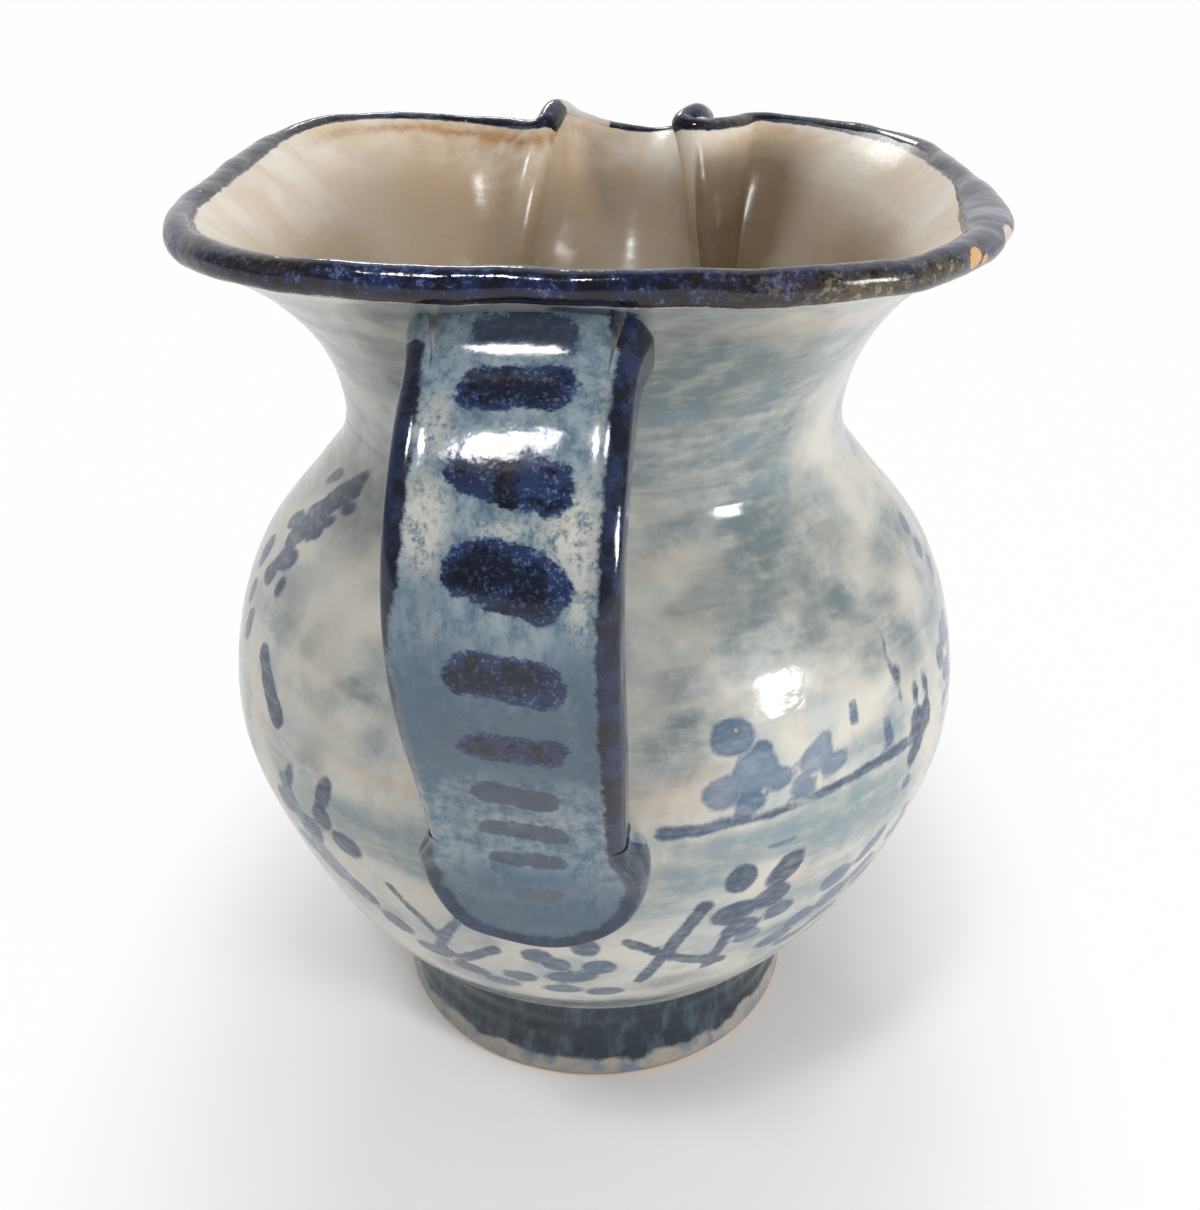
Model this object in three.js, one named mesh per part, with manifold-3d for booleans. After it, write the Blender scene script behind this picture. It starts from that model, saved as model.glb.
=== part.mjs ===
import * as THREE from "three";
import { mergeVertices } from "three/addons/utils/BufferGeometryUtils.js";
import Module from "manifold-3d";

const wasm = await Module();
wasm.setup();

// A small tin-glazed creamer. Sizes are in millimetres and angles in degrees.
// Z is up, the handle points to -Y and the pinched spout points to +Y.

// Foot
const FOOT_HEIGHT = 13;
const FOOT_RADIUS = 27.3;
const FOOT_WAIST_RADIUS = 26.7;
const CREASE_RADIUS = 27.5;
const FOOT_RECESS_RADIUS = 20.3;
const FOOT_RECESS_DEPTH = 8;
const FOOT_BEVEL = 0.8;

// Body
const WALL = 3;
const FLOOR_THICKNESS = 6;
const BELLY_RADIUS = 44.8;
const BELLY_HEIGHT = 47;
const NECK_RADIUS = 28.9;
const NECK_HEIGHT = 84;

// Rolled rim: its centre line lies at this height where the rim is level
const RIM_HEIGHT = 108.5;
const RIM_RADIUS = 48.6;
const SPOUT_DEPTH = 2.9;
const ROLL_RADIUS = 1.7;
const BROAD_LIP_ANGLE = -20;
const BROAD_LIP_SPREAD = 16;
const BROAD_LIP_EXTRA = 0.8;

// Handle
const HANDLE_DROP_LENGTH = 9;
const HANDLE_DEPTH = 18.7;
const STRAP_THICKNESS = 4.4;
const COIL_HALF_WIDTH = 1.4;
const COIL_HALF_HEIGHT = 2.5;
const COIL_OFFSET_TOP = 8.2;
const COIL_OFFSET_BOTTOM = 7.8;
const COIL_RISE = 0.25;
const ROOT_END = 0.13;
const ROOT_HEIGHT = 10.5;
const COIL_START = 0.075;
const PAD_TOP_HEIGHT = 57.5;
const PAD_BOTTOM_HEIGHT = 40;
const PAD_HALF_WIDTH = 11.2;
const PAD_TOP_HALF_WIDTH = 10;
const PAD_TOP_THICKNESS = 8;
const PAD_THICKNESS = 3.2;
const PAD_EDGE_THICKNESS = 1.5;

// The clay slip between two pieces, and the shortest edge a cut may leave
const JOINT = 0.3;
const SLIVER = 0.02;

// How finely the round forms are divided
const SAMPLES_PER_RIM_POINT = 2;
const OUTLINE_STEPS = 15;
const FLARE_ROWS = 6;
const ROLL_SIDES = 9;
const FOOT_SIDES = 64;
const COIL_SIDES = 8;
const PATH_STEPS = 26;

// How the body swells from the crease to the belly: shares of the way out and of the way up
const LOWER_SWELL = [
  [0.2775, 0.1471],
  [0.5723, 0.3765],
  [0.8266, 0.6735],
];

// How it draws in from the belly to the neck: shares of the way in and of the way up
const UPPER_DRAW = [
  [0.0503, 0.2865],
  [0.2704, 0.5486],
  [0.6792, 0.7622],
  [0.9308, 0.8973],
];

// The rim's centre line, seen from above: angle, share of RIM_RADIUS, rise as a share of SPOUT_DEPTH.
// The two inward folds beside 90 degrees are where fingers pinched the spout.
const RIM_POINTS = [
  [-90, 0.9177, 0],
  [-76, 0.9383, 0],
  [-62, 0.9753, 0],
  [-49, 0.9835, -0.0345],
  [-36, 0.9383, -0.069],
  [-22, 0.8765, -0.069],
  [-6, 0.823, 0],
  [11, 0.8107, 0.069],
  [28, 0.8519, 0.1379],
  [45, 0.8848, 0.1724],
  [58, 0.893, 0.2069],
  [66.5, 0.8519, 0.2414],
  [69, 0.7449, 0.2414],
  [72.6, 0.6708, 0.2414],
  [77, 0.6831, 0.3793],
  [76.2, 0.7675, 0.7241],
  [77, 0.8642, 0.2414],
  [81.5, 0.9588, -0.5862],
  [88, 1, -1],
  [95, 0.9588, -0.6207],
  [101.5, 0.8642, 0.2069],
  [105.2, 0.7695, 0.7586],
  [109.8, 0.6872, 0.1379],
  [115, 0.7613, 0],
  [124, 0.8601, 0.1034],
  [135, 0.9053, 0.3103],
  [147, 0.93, 0.3793],
  [159, 0.8971, 0.2414],
  [172, 0.8395, 0.1379],
  [187, 0.8148, 0.069],
  [201, 0.8354, 0.0345],
  [214, 0.8971, 0],
  [226, 0.9588, 0],
  [238, 0.9877, 0],
  [250, 0.9712, 0],
  [260, 0.9424, 0],
];

// The handle's centre line: share of the way from the root down to the pad's top, and how far it
// bows out from the straight line between them, as a share of HANDLE_DEPTH. It starts inside the
// wall and ends inside the pad.
const HANDLE_LINE = [
  [0, -0.1442],
  [-0.0643, 0.1851],
  [-0.05, 0.4714],
  [0.0119, 0.7049],
  [0.1071, 0.8827],
  [0.219, 0.9873],
  [0.3452, 0.9985],
  [0.4762, 0.9108],
  [0.6071, 0.7536],
  [0.7381, 0.5697],
  [0.8571, 0.4029],
  [0.9643, 0.2588],
  [1.0833, 0.1188],
];

const radians = THREE.MathUtils.degToRad;
const mix = THREE.MathUtils.lerp;

// A point from its angle in radians, its distance from the axis and its height
function polar(angle, radius, height) {
  return new THREE.Vector3(radius * Math.cos(angle), radius * Math.sin(angle), height);
}

// Six times the volume inside a triangle list, below zero when the faces look inwards
function signedVolume(points, triangles) {
  let total = 0;
  for (let i = 0; i < triangles.length; i += 3) {
    const [a, b, c] = [0, 1, 2].map((k) => points[triangles[i + k]]);
    total += a.dot(new THREE.Vector3().crossVectors(b, c));
  }
  return total;
}

// Skins closed rows of points. With two end points the body is capped there, without them it is a ring.
function skin(rows, ends) {
  const sides = rows[0].length;
  const points = rows.flat();
  const triangles = [];
  const band = (from, to) => {
    for (let j = 0; j < sides; j += 1) {
      const k = (j + 1) % sides;
      triangles.push(from + j, from + k, to + k);
      triangles.push(from + j, to + k, to + j);
    }
  };
  rows.slice(1).forEach((_, i) => band(i * sides, (i + 1) * sides));
  const last = (rows.length - 1) * sides;
  if (ends) {
    const start = points.push(ends[0]) - 1;
    const end = points.push(ends[1]) - 1;
    for (let j = 0; j < sides; j += 1) {
      const k = (j + 1) % sides;
      triangles.push(start, k, j);
      triangles.push(end, last + j, last + k);
    }
  } else {
    band(last, 0);
  }
  if (signedVolume(points, triangles) < 0) triangles.reverse();
  return new THREE.BufferGeometry().setFromPoints(points).setIndex(triangles);
}

// A geometry as a solid that can be cut and joined
function solidOf(geometry) {
  const merged = mergeVertices(geometry, 1e-4);
  return new wasm.Manifold(
    new wasm.Mesh({
      numProp: 3,
      vertProperties: merged.attributes.position.array,
      triVerts: new Uint32Array(merged.index.array),
    }),
  );
}

// A cut solid as a geometry with flat-shaded faces, without the crumbs that a cut can leave
function geometryOf(solid) {
  const bodies = solid.simplify(SLIVER).decompose();
  const mesh = bodies.sort((a, b) => b.volume() - a.volume())[0].getMesh();
  const geometry = new THREE.BufferGeometry();
  geometry.setAttribute("position", new THREE.BufferAttribute(mesh.vertProperties, 3));
  geometry.setIndex(new THREE.BufferAttribute(mesh.triVerts, 1));
  const faceted = geometry.toNonIndexed();
  faceted.computeVertexNormals();
  return faceted;
}

// The rim's centre line, sampled into columns that every row of the vessel shares
const rimCurve = new THREE.CatmullRomCurve3(
  RIM_POINTS.map(([angle, reach, rise]) =>
    polar(radians(angle), reach * RIM_RADIUS, RIM_HEIGHT + rise * SPOUT_DEPTH),
  ),
  true,
  "centripetal",
);
const COLUMNS = RIM_POINTS.length * SAMPLES_PER_RIM_POINT;
const rim = Array.from({ length: COLUMNS }, (_, j) => {
  const centre = rimCurve.getPoint(j / COLUMNS);
  const tangent = rimCurve.getTangent(j / COLUMNS);
  const angle = Math.atan2(centre.y, centre.x);
  const fromBroad = (THREE.MathUtils.radToDeg(angle) - BROAD_LIP_ANGLE) / BROAD_LIP_SPREAD;
  const halfWidth = ROLL_RADIUS + BROAD_LIP_EXTRA * Math.exp(-fromBroad * fromBroad);
  return { centre, tangent, halfWidth };
});

// Each column leaves the neck at the mean direction of the rim around it, so the folds fade downwards
const NECK_SMOOTHING = 3;
rim.forEach((column, j) => {
  const mean = new THREE.Vector2();
  for (let k = -NECK_SMOOTHING; k <= NECK_SMOOTHING; k += 1) {
    const { x, y } = rim[(j + k + COLUMNS) % COLUMNS].centre;
    mean.add(new THREE.Vector2(x, y).normalize());
  }
  column.angle = mean.angle();
});

// Points along the outside outline, with the direction that looks away from the clay
const outlineBetween = (r0, z0, r1, z1, shares) =>
  shares.map(([out, up]) => new THREE.Vector2(mix(r0, r1, out), mix(z0, z1, up)));
const outline = new THREE.SplineCurve([
  new THREE.Vector2(CREASE_RADIUS, FOOT_HEIGHT),
  ...outlineBetween(CREASE_RADIUS, FOOT_HEIGHT, BELLY_RADIUS, BELLY_HEIGHT, LOWER_SWELL),
  new THREE.Vector2(BELLY_RADIUS, BELLY_HEIGHT),
  ...outlineBetween(BELLY_RADIUS, BELLY_HEIGHT, NECK_RADIUS, NECK_HEIGHT, UPPER_DRAW),
  new THREE.Vector2(NECK_RADIUS, NECK_HEIGHT),
]);
const outlinePoints = Array.from({ length: OUTLINE_STEPS + 1 }, (_, i) => {
  const at = outline.getPoint(i / OUTLINE_STEPS);
  const along = outline.getTangent(i / OUTLINE_STEPS);
  if (i === OUTLINE_STEPS) along.set(0, 1);
  return { at, away: new THREE.Vector2(along.y, -along.x) };
});

// One row of the vessel that is round about the axis
function roundRow(radius, height) {
  return rim.map(({ angle }) => polar(angle, radius, height));
}

// The middle of the flared wall over the neck: a curve from the upright neck out into the roll
const MID_NECK_RADIUS = NECK_RADIUS - WALL / 2;
const FLARE_UPRIGHT = 0.37;
const FLARE_BEND_OUT = 0.48;
const FLARE_BEND_UP = 0.83;
const flareCurves = rim.map(({ centre, angle }) => {
  const climb = centre.z - NECK_HEIGHT;
  const start = polar(angle, MID_NECK_RADIUS, NECK_HEIGHT);
  const upright = start.clone().setZ(NECK_HEIGHT + FLARE_UPRIGHT * climb);
  const bend = start.clone().lerp(centre, FLARE_BEND_OUT).setZ(NECK_HEIGHT + FLARE_BEND_UP * climb);
  return new THREE.CubicBezierCurve3(start, upright, bend, centre);
});

function flarePoint(column, t) {
  return flareCurves[column].getPoint(t);
}

// One row of the flare, moved away from the wall's middle by the given distance
function flareRow(t, distance) {
  return rim.map((_, j) => {
    const before = flarePoint((j + COLUMNS - 1) % COLUMNS, t);
    const after = flarePoint((j + 1) % COLUMNS, t);
    const around = after.sub(before);
    const up = flarePoint(j, Math.min(t + 0.02, 1)).sub(flarePoint(j, Math.max(t - 0.02, 0)));
    const normal = around.cross(up).normalize();
    return flarePoint(j, t).addScaledVector(normal, distance);
  });
}

// The outside of the belly from the crease to the neck, and of the flare from there into the roll
function bellyOutside(grow) {
  return outlinePoints.map(({ at, away }) => {
    const p = at.clone().addScaledVector(away, grow);
    return roundRow(p.x, p.y);
  });
}
function flareSide(distance) {
  return Array.from({ length: FLARE_ROWS }, (_, i) => flareRow((i + 1) / FLARE_ROWS, distance));
}

// The inside of the belly, from the neck down to the floor
const FLOOR_HEIGHT = FOOT_RECESS_DEPTH + FLOOR_THICKNESS;
function bellyInside() {
  const body = outlinePoints
    .map(({ at, away }) => at.clone().addScaledVector(away, -WALL))
    .filter((p) => p.y > FLOOR_HEIGHT + WALL)
    .reverse();
  const lowest = body[body.length - 1];
  const rounded = new THREE.QuadraticBezierCurve(
    lowest,
    new THREE.Vector2(lowest.x - WALL, FLOOR_HEIGHT),
    new THREE.Vector2(lowest.x - 3 * WALL, FLOOR_HEIGHT),
  );
  const floor = rounded.getPoints(3).slice(1);
  return [...body, ...floor].map((p) => roundRow(p.x, p.y));
}

// The rolled lip: an oval section carried along the rim's centre line, grown by the given distance
function rollGeometry(grow) {
  const rows = rim.map(({ centre, tangent, halfWidth }) => {
    const out = new THREE.Vector3(tangent.y, -tangent.x, 0).normalize();
    const up = new THREE.Vector3().crossVectors(out, tangent).normalize();
    return Array.from({ length: ROLL_SIDES }, (_, k) => {
      const turn = (2 * Math.PI * k) / ROLL_SIDES;
      return centre
        .clone()
        .addScaledVector(out, (halfWidth + grow) * Math.cos(turn))
        .addScaledVector(up, (ROLL_RADIUS + grow) * Math.sin(turn));
    });
  });
  return skin(rows, null);
}

// The vessel filled up to its rim and grown by the slip joint: what the handle's ends are cut with
const grownRoll = solidOf(rollGeometry(JOINT));
const grownVessel = solidOf(
  skin([...bellyOutside(JOINT), ...flareSide(WALL / 2 + JOINT)], [
    new THREE.Vector3(0, 0, FOOT_HEIGHT),
    new THREE.Vector3(0, 0, RIM_HEIGHT),
  ]),
).add(grownRoll);

// Belly: its underside has a boss that sits inside the foot ring
function vesselBelly() {
  const bossRadius = FOOT_RECESS_RADIUS - JOINT;
  const rows = [
    roundRow(bossRadius, FOOT_RECESS_DEPTH),
    roundRow(bossRadius, FOOT_HEIGHT),
    ...bellyOutside(0),
    ...bellyInside(),
  ];
  return skin(rows, [
    new THREE.Vector3(0, 0, FOOT_RECESS_DEPTH),
    new THREE.Vector3(0, 0, FLOOR_HEIGHT),
  ]);
}

// Neck: the flared wall over the belly, with the spout pinched in it and a seat for the roll
function vesselNeck() {
  const rows = [
    roundRow(NECK_RADIUS, NECK_HEIGHT + JOINT),
    ...flareSide(WALL / 2),
    ...flareSide(-WALL / 2).reverse(),
    roundRow(NECK_RADIUS - WALL, NECK_HEIGHT + JOINT),
  ];
  return geometryOf(solidOf(skin(rows, null)).subtract(grownRoll));
}

// Foot ring: a turned ring with a flat rest face, closed over a recess
function footRing() {
  const top = FOOT_HEIGHT - JOINT;
  const profile = [
    [FOOT_RECESS_RADIUS + FOOT_BEVEL, 0],
    [FOOT_RADIUS - FOOT_BEVEL, 0],
    [FOOT_RADIUS, FOOT_BEVEL],
    [mix(FOOT_RADIUS, FOOT_WAIST_RADIUS, 0.6), FOOT_HEIGHT * 0.3],
    [FOOT_WAIST_RADIUS, FOOT_HEIGHT * 0.58],
    [mix(FOOT_WAIST_RADIUS, CREASE_RADIUS, 0.4), FOOT_HEIGHT * 0.82],
    [CREASE_RADIUS, top],
    [FOOT_RECESS_RADIUS, top],
    [FOOT_RECESS_RADIUS, FOOT_BEVEL],
  ];
  const rows = profile.map(([radius, height]) =>
    Array.from({ length: FOOT_SIDES }, (_, j) =>
      polar((2 * Math.PI * j) / FOOT_SIDES, radius, height),
    ),
  );
  return skin(rows, null);
}

// The body's outside at a height, and the radius of the flare's middle at a height behind the handle
function bodyAt(height) {
  const heights = outlinePoints.filter(({ at }) => at.y > FOOT_HEIGHT + WALL);
  const next = heights.findIndex(({ at }) => at.y >= height);
  const [low, high] = [heights[next - 1], heights[next]];
  const part = (height - low.at.y) / (high.at.y - low.at.y);
  return { at: low.at.clone().lerp(high.at, part), away: low.away.clone().lerp(high.away, part) };
}
function flareRadiusAt(height) {
  let [below, above] = [0, 1];
  for (let i = 0; i < 30; i += 1) {
    const t = (below + above) / 2;
    if (flarePoint(0, t).z < height) below = t;
    else above = t;
  }
  return -flarePoint(0, below).y;
}

// The handle's path, and the frame that carries its sections: x is the strap's width, away is its face
const HANDLE_TOP = RIM_HEIGHT - HANDLE_DROP_LENGTH;
const rootRadius = flareRadiusAt(HANDLE_TOP);
const padRadius = bodyAt(PAD_TOP_HEIGHT).at.x;
const handleCurve = new THREE.CatmullRomCurve3(
  HANDLE_LINE.map(([down, bow]) => {
    const y = -mix(rootRadius, padRadius, down) - bow * HANDLE_DEPTH;
    return new THREE.Vector3(0, y, mix(HANDLE_TOP, PAD_TOP_HEIGHT, down));
  }),
  false,
  "centripetal",
);
function handleFrame(u) {
  const at = handleCurve.getPointAt(u);
  const along = handleCurve.getTangentAt(u);
  const away = new THREE.Vector3(0, along.z, -along.y);
  return { at, along, away: away.multiplyScalar(-1) };
}
function pathAtHeight(height) {
  let [above, below] = [0.5, 1];
  for (let i = 0; i < 30; i += 1) {
    const u = (above + below) / 2;
    if (handleCurve.getPointAt(u).z > height) above = u;
    else below = u;
  }
  return below;
}
function coilOffset(u) {
  return mix(COIL_OFFSET_TOP, COIL_OFFSET_BOTTOM, u);
}

// A row of a slab: a rounded oblong across the handle's path
function slabRow(u, halfWidth, halfHeight) {
  const { at, away } = handleFrame(u);
  const corner = 0.35;
  const outlineShape = [
    [1, 0],
    [1, 1 - corner],
    [1 - corner, 1],
    [0, 1.08],
    [corner - 1, 1],
    [-1, 1 - corner],
    [-1, 0],
    [-1, corner - 1],
    [corner - 1, -1],
    [0, -1.04],
    [1 - corner, -1],
    [1, corner - 1],
  ];
  return outlineShape.map(([x, h]) =>
    at
      .clone()
      .addScaledVector(away, h * halfHeight)
      .setX(x * halfWidth),
  );
}
function slabBetween(from, to, steps, halfHeightAt) {
  const rows = Array.from({ length: steps + 1 }, (_, i) => {
    const u = mix(from, to, i / steps);
    return slabRow(u, coilOffset(u) - COIL_HALF_WIDTH - JOINT, halfHeightAt(i / steps));
  });
  return solidOf(skin(rows, [handleFrame(from).at, handleFrame(to).at]));
}

// Lower pad: clay pressed on the belly, thick under the strap's end and thin at its rounded outline
function padSolid(grow) {
  const across = 6;
  const down = 10;
  const halfWidthAt = (v) => {
    const shoulder = mix(PAD_TOP_HALF_WIDTH, PAD_HALF_WIDTH, Math.min(1, v / 0.3));
    const round = Math.sqrt(Math.max(0, 1 - Math.max(0, (v - 0.35) / 0.65) ** 2.4));
    return shoulder * Math.max(round, 0.16) + grow;
  };
  const rows = Array.from({ length: down + 1 }, (_, i) => {
    const v = i / down;
    const height = mix(PAD_TOP_HEIGHT + grow, PAD_BOTTOM_HEIGHT - grow, v);
    const { at, away } = bodyAt(height);
    const middle = mix(PAD_THICKNESS, PAD_TOP_THICKNESS, Math.max(0, 1 - v / 0.6) ** 2);
    const edge = mix(PAD_EDGE_THICKNESS, PAD_TOP_THICKNESS * 0.6, Math.max(0, 1 - v / 0.35));
    const place = (x, lift) => {
      const p = at.clone().addScaledVector(away, lift);
      return polar(-Math.PI / 2 + x / p.x, p.x, p.y);
    };
    const halfWidth = halfWidthAt(v);
    const outer = Array.from({ length: across + 1 }, (_, k) => {
      const x = 1 - (2 * k) / across;
      const rise = mix(edge, middle, Math.sqrt(1 - x ** 4)) + grow;
      return place(x * halfWidth, Math.min(rise, mix(rise, PAD_EDGE_THICKNESS + grow, v ** 6)));
    });
    const inner = Array.from({ length: across + 1 }, (_, k) =>
      place(((2 * k) / across - 1) * halfWidth, -WALL / 3),
    );
    return [...outer, ...inner];
  });
  const centreOf = (row) =>
    row.reduce((sum, p) => sum.add(p), new THREE.Vector3()).divideScalar(row.length);
  return solidOf(skin(rows, [centreOf(rows[0]), centreOf(rows[down])]));
}
const grownPad = padSolid(JOINT);
const STRAP_END = pathAtHeight(PAD_TOP_HEIGHT);

// Upper root: a wad that swells from the strap's end to the wall under the rim
function handleRoot() {
  const swelling = (t) => mix(ROOT_HEIGHT / 2, STRAP_THICKNESS / 2, Math.sqrt(t));
  return geometryOf(slabBetween(0, ROOT_END, 5, swelling).subtract(grownVessel));
}

// Strap: the slab between the two edge coils
function handleStrap() {
  const jointPart = JOINT / handleCurve.getLength();
  const from = ROOT_END + jointPart;
  const slab = slabBetween(from, STRAP_END, PATH_STEPS, () => STRAP_THICKNESS / 2);
  return geometryOf(slab.subtract(grownPad).subtract(grownVessel));
}

// Edge coil: a round roll along one side of the strap, with a rounded free end beside the root
function handleCoil(side) {
  const ring = (u, size, ahead) => {
    const { at, along, away } = handleFrame(u);
    const centre = at
      .clone()
      .addScaledVector(away, COIL_RISE)
      .addScaledVector(along, -ahead * COIL_HALF_HEIGHT)
      .setX(side * coilOffset(u));
    return Array.from({ length: COIL_SIDES }, (_, k) => {
      const turn = (2 * Math.PI * k) / COIL_SIDES;
      return centre
        .clone()
        .addScaledVector(away, size * COIL_HALF_HEIGHT * Math.sin(turn))
        .add(new THREE.Vector3(size * COIL_HALF_WIDTH * Math.cos(turn), 0, 0));
    });
  };
  const middle = (row) =>
    row.reduce((sum, p) => sum.add(p), new THREE.Vector3()).divideScalar(row.length);
  const rows = [ring(COIL_START, 0.5, 0.87), ring(COIL_START, 0.87, 0.5)];
  for (let i = 0; i <= PATH_STEPS; i += 1) {
    rows.push(ring(mix(COIL_START, STRAP_END, i / PATH_STEPS), 1, 0));
  }
  const tip = middle(ring(COIL_START, 0.1, 1));
  const coil = solidOf(skin(rows, [tip, middle(rows[rows.length - 1])]));
  return geometryOf(coil.subtract(grownPad).subtract(grownVessel));
}

const creamGlaze = new THREE.MeshStandardMaterial({ color: 0xcfcac2, roughness: 0.2 });
const cobaltGlaze = new THREE.MeshStandardMaterial({ color: 0x1b2340, roughness: 0.2 });
const slateGlaze = new THREE.MeshStandardMaterial({ color: 0x4a5c78, roughness: 0.2 });
const paleBlueGlaze = new THREE.MeshStandardMaterial({ color: 0x8fa2b8, roughness: 0.2 });

const creamer = new THREE.Group();
function addPiece(name, geometry, material) {
  const mesh = new THREE.Mesh(geometry, material);
  mesh.name = name;
  creamer.add(mesh);
}

addPiece("vessel_belly", vesselBelly(), creamGlaze);
addPiece("vessel_neck", vesselNeck(), creamGlaze);
addPiece("rim_roll", rollGeometry(0), cobaltGlaze);
addPiece("foot_ring", footRing(), slateGlaze);
addPiece("handle_strap", handleStrap(), paleBlueGlaze);
addPiece("handle_coil_left", handleCoil(-1), cobaltGlaze);
addPiece("handle_coil_right", handleCoil(1), cobaltGlaze);
addPiece("handle_root", handleRoot(), paleBlueGlaze);
addPiece("handle_terminal", geometryOf(padSolid(0).subtract(grownVessel)), paleBlueGlaze);

// The origin is under the middle of the whole creamer, on the plane it stands on
const extent = new THREE.Box3().setFromObject(creamer);
const middleOfAll = extent.getCenter(new THREE.Vector3());
creamer.position.set(-middleOfAll.x, -middleOfAll.y, -extent.min.z);

export default creamer;
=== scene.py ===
import logging
from abc import ABC, abstractmethod
from dataclasses import dataclass, field
from enum import Enum, IntEnum
from math import cos, pi, radians, sin
from typing import Iterable, Sequence

import bpy
import numpy as np
from mathutils import Matrix, Vector


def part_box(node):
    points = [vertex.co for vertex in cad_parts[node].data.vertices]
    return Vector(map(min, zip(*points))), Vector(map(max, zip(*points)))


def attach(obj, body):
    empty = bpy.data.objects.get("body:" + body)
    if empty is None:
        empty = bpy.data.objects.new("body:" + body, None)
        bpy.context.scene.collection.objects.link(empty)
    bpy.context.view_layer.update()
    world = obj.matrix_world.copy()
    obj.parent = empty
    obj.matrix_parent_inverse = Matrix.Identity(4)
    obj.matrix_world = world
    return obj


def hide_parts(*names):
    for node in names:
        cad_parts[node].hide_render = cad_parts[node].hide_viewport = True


log = logging.getLogger("creamer")
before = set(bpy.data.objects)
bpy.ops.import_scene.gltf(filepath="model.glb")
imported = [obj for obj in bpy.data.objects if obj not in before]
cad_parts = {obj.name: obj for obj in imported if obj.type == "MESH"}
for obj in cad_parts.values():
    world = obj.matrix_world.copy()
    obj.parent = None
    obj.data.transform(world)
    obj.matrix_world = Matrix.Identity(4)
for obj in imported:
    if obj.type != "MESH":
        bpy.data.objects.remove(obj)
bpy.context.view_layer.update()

MM = 0.001
Array = np.ndarray
Colour = tuple[float, float, float]


# Plain working-out on whole arrays


def smooth(x: Array, low: float, high: float) -> Array:
    """Ease from 0 at low to 1 at high: 3t squared minus 2t cubed of the clipped share t.

    Args:
        x: The values to ease.
        low: Where the result is 0.
        high: Where the result is 1.

    Returns:
        The eased values, from 0 to 1.
    """
    t = np.clip((np.asarray(x, float) - low) / (high - low), 0, 1)
    return t * t * (3 - 2 * t)


def bell(x: Array, centre: float, width: float, power: float = 2) -> Array:
    """1 at centre, falling off on both sides: e to minus a power of (x - centre) / width."""
    return np.exp(-(np.abs((x - centre) / width) ** power))


def quarter(x: Array, radius: float) -> Array:
    """A circle's quarter: upright from 0 at x = 0, and level at 1 from the radius on."""
    return np.sqrt(1 - (1 - np.clip(x / radius, 0, 1)) ** 2)


def turn_between(angle: Array, centre: float) -> Array:
    """Signed degrees from centre to angle, wrapped into -180 to 180."""
    return (np.asarray(angle) - centre + 180) % 360 - 180


def near(angle: Array, centre: float, gone: float, full: float) -> Array:
    """1 within full degrees of centre, eased to 0 at gone degrees from it."""
    return smooth(np.abs(turn_between(angle, centre)), gone, full)


def unit(v: Array) -> Array:
    """Each vector along the last axis divided by its own length."""
    return v / np.maximum(np.linalg.norm(v, axis=-1, keepdims=True), 1e-12)


def polar(angle: Array, radius: Array, height: Array) -> Array:
    """Points at an angle in radians, a distance from the vessel's axis and a height."""
    angle, radius, height = np.broadcast_arrays(angle, radius, height)
    return np.stack([radius * np.cos(angle), radius * np.sin(angle), height], -1)


def run(line: Array) -> Array:
    """How far along a line each of its points is: the running sum of its steps' lengths."""
    return np.concatenate([[0], np.cumsum(np.linalg.norm(np.diff(line, axis=0), axis=1))])


def bezier(t: Array, a: Array, b: Array, c: Array, d: Array) -> Array:
    """The cubic curve from a to d that leaves a towards b and comes to d from c, at shares t."""
    return (1 - t) ** 3 * a + 3 * t * (1 - t) ** 2 * b + 3 * t**2 * (1 - t) * c + t**3 * d


def hermite(p: Array, q: Array, leave: Array, arrive: Array, steps: int) -> Array:
    """Cubic pieces with given ends and end slopes.

    Args:
        p: Where each piece starts, one row each.
        q: Where each piece ends.
        leave: Each piece's slope at its start.
        arrive: Each piece's slope at its end.
        steps: How many samples each piece has, from its start to just before its end.

    Returns:
        The samples, steps for each piece, in order.
    """
    u = (np.arange(steps) / steps)[None, :, None]
    p, q, t1, t2 = (v[:, None, :] for v in (p, q, leave, arrive))
    out = p + u * t1 + u**2 * (3 * (q - p) - 2 * t1 - t2) + u**3 * (2 * (p - q) + t1 + t2)
    return out.reshape(-1, p.shape[-1])


def round_spline(points: Array, before: Array, after: Array, beyond: Array, steps: int) -> Array:
    """Centripetal Catmull-Rom pieces: a cubic from each point to the next, whose end slopes come
    from the neighbours, with each span's clock set by the square root of its length.

    Args:
        points: The points each piece starts from, one row each.
        before: The point before each of them.
        after: The point after each of them.
        beyond: The point after that.
        steps: How many samples each piece has.

    Returns:
        The samples, steps for each piece, in order.
    """
    d0, d1, d2 = (
        np.sqrt(np.linalg.norm(b - a, axis=1, keepdims=True))
        for a, b in ((before, points), (points, after), (after, beyond))
    )
    t1 = ((points - before) / d0 - (after - before) / (d0 + d1) + (after - points) / d1) * d1
    t2 = ((after - points) / d1 - (beyond - points) / (d1 + d2) + (beyond - after) / d2) * d1
    return hermite(points, after, t1, t2, steps)


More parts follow.
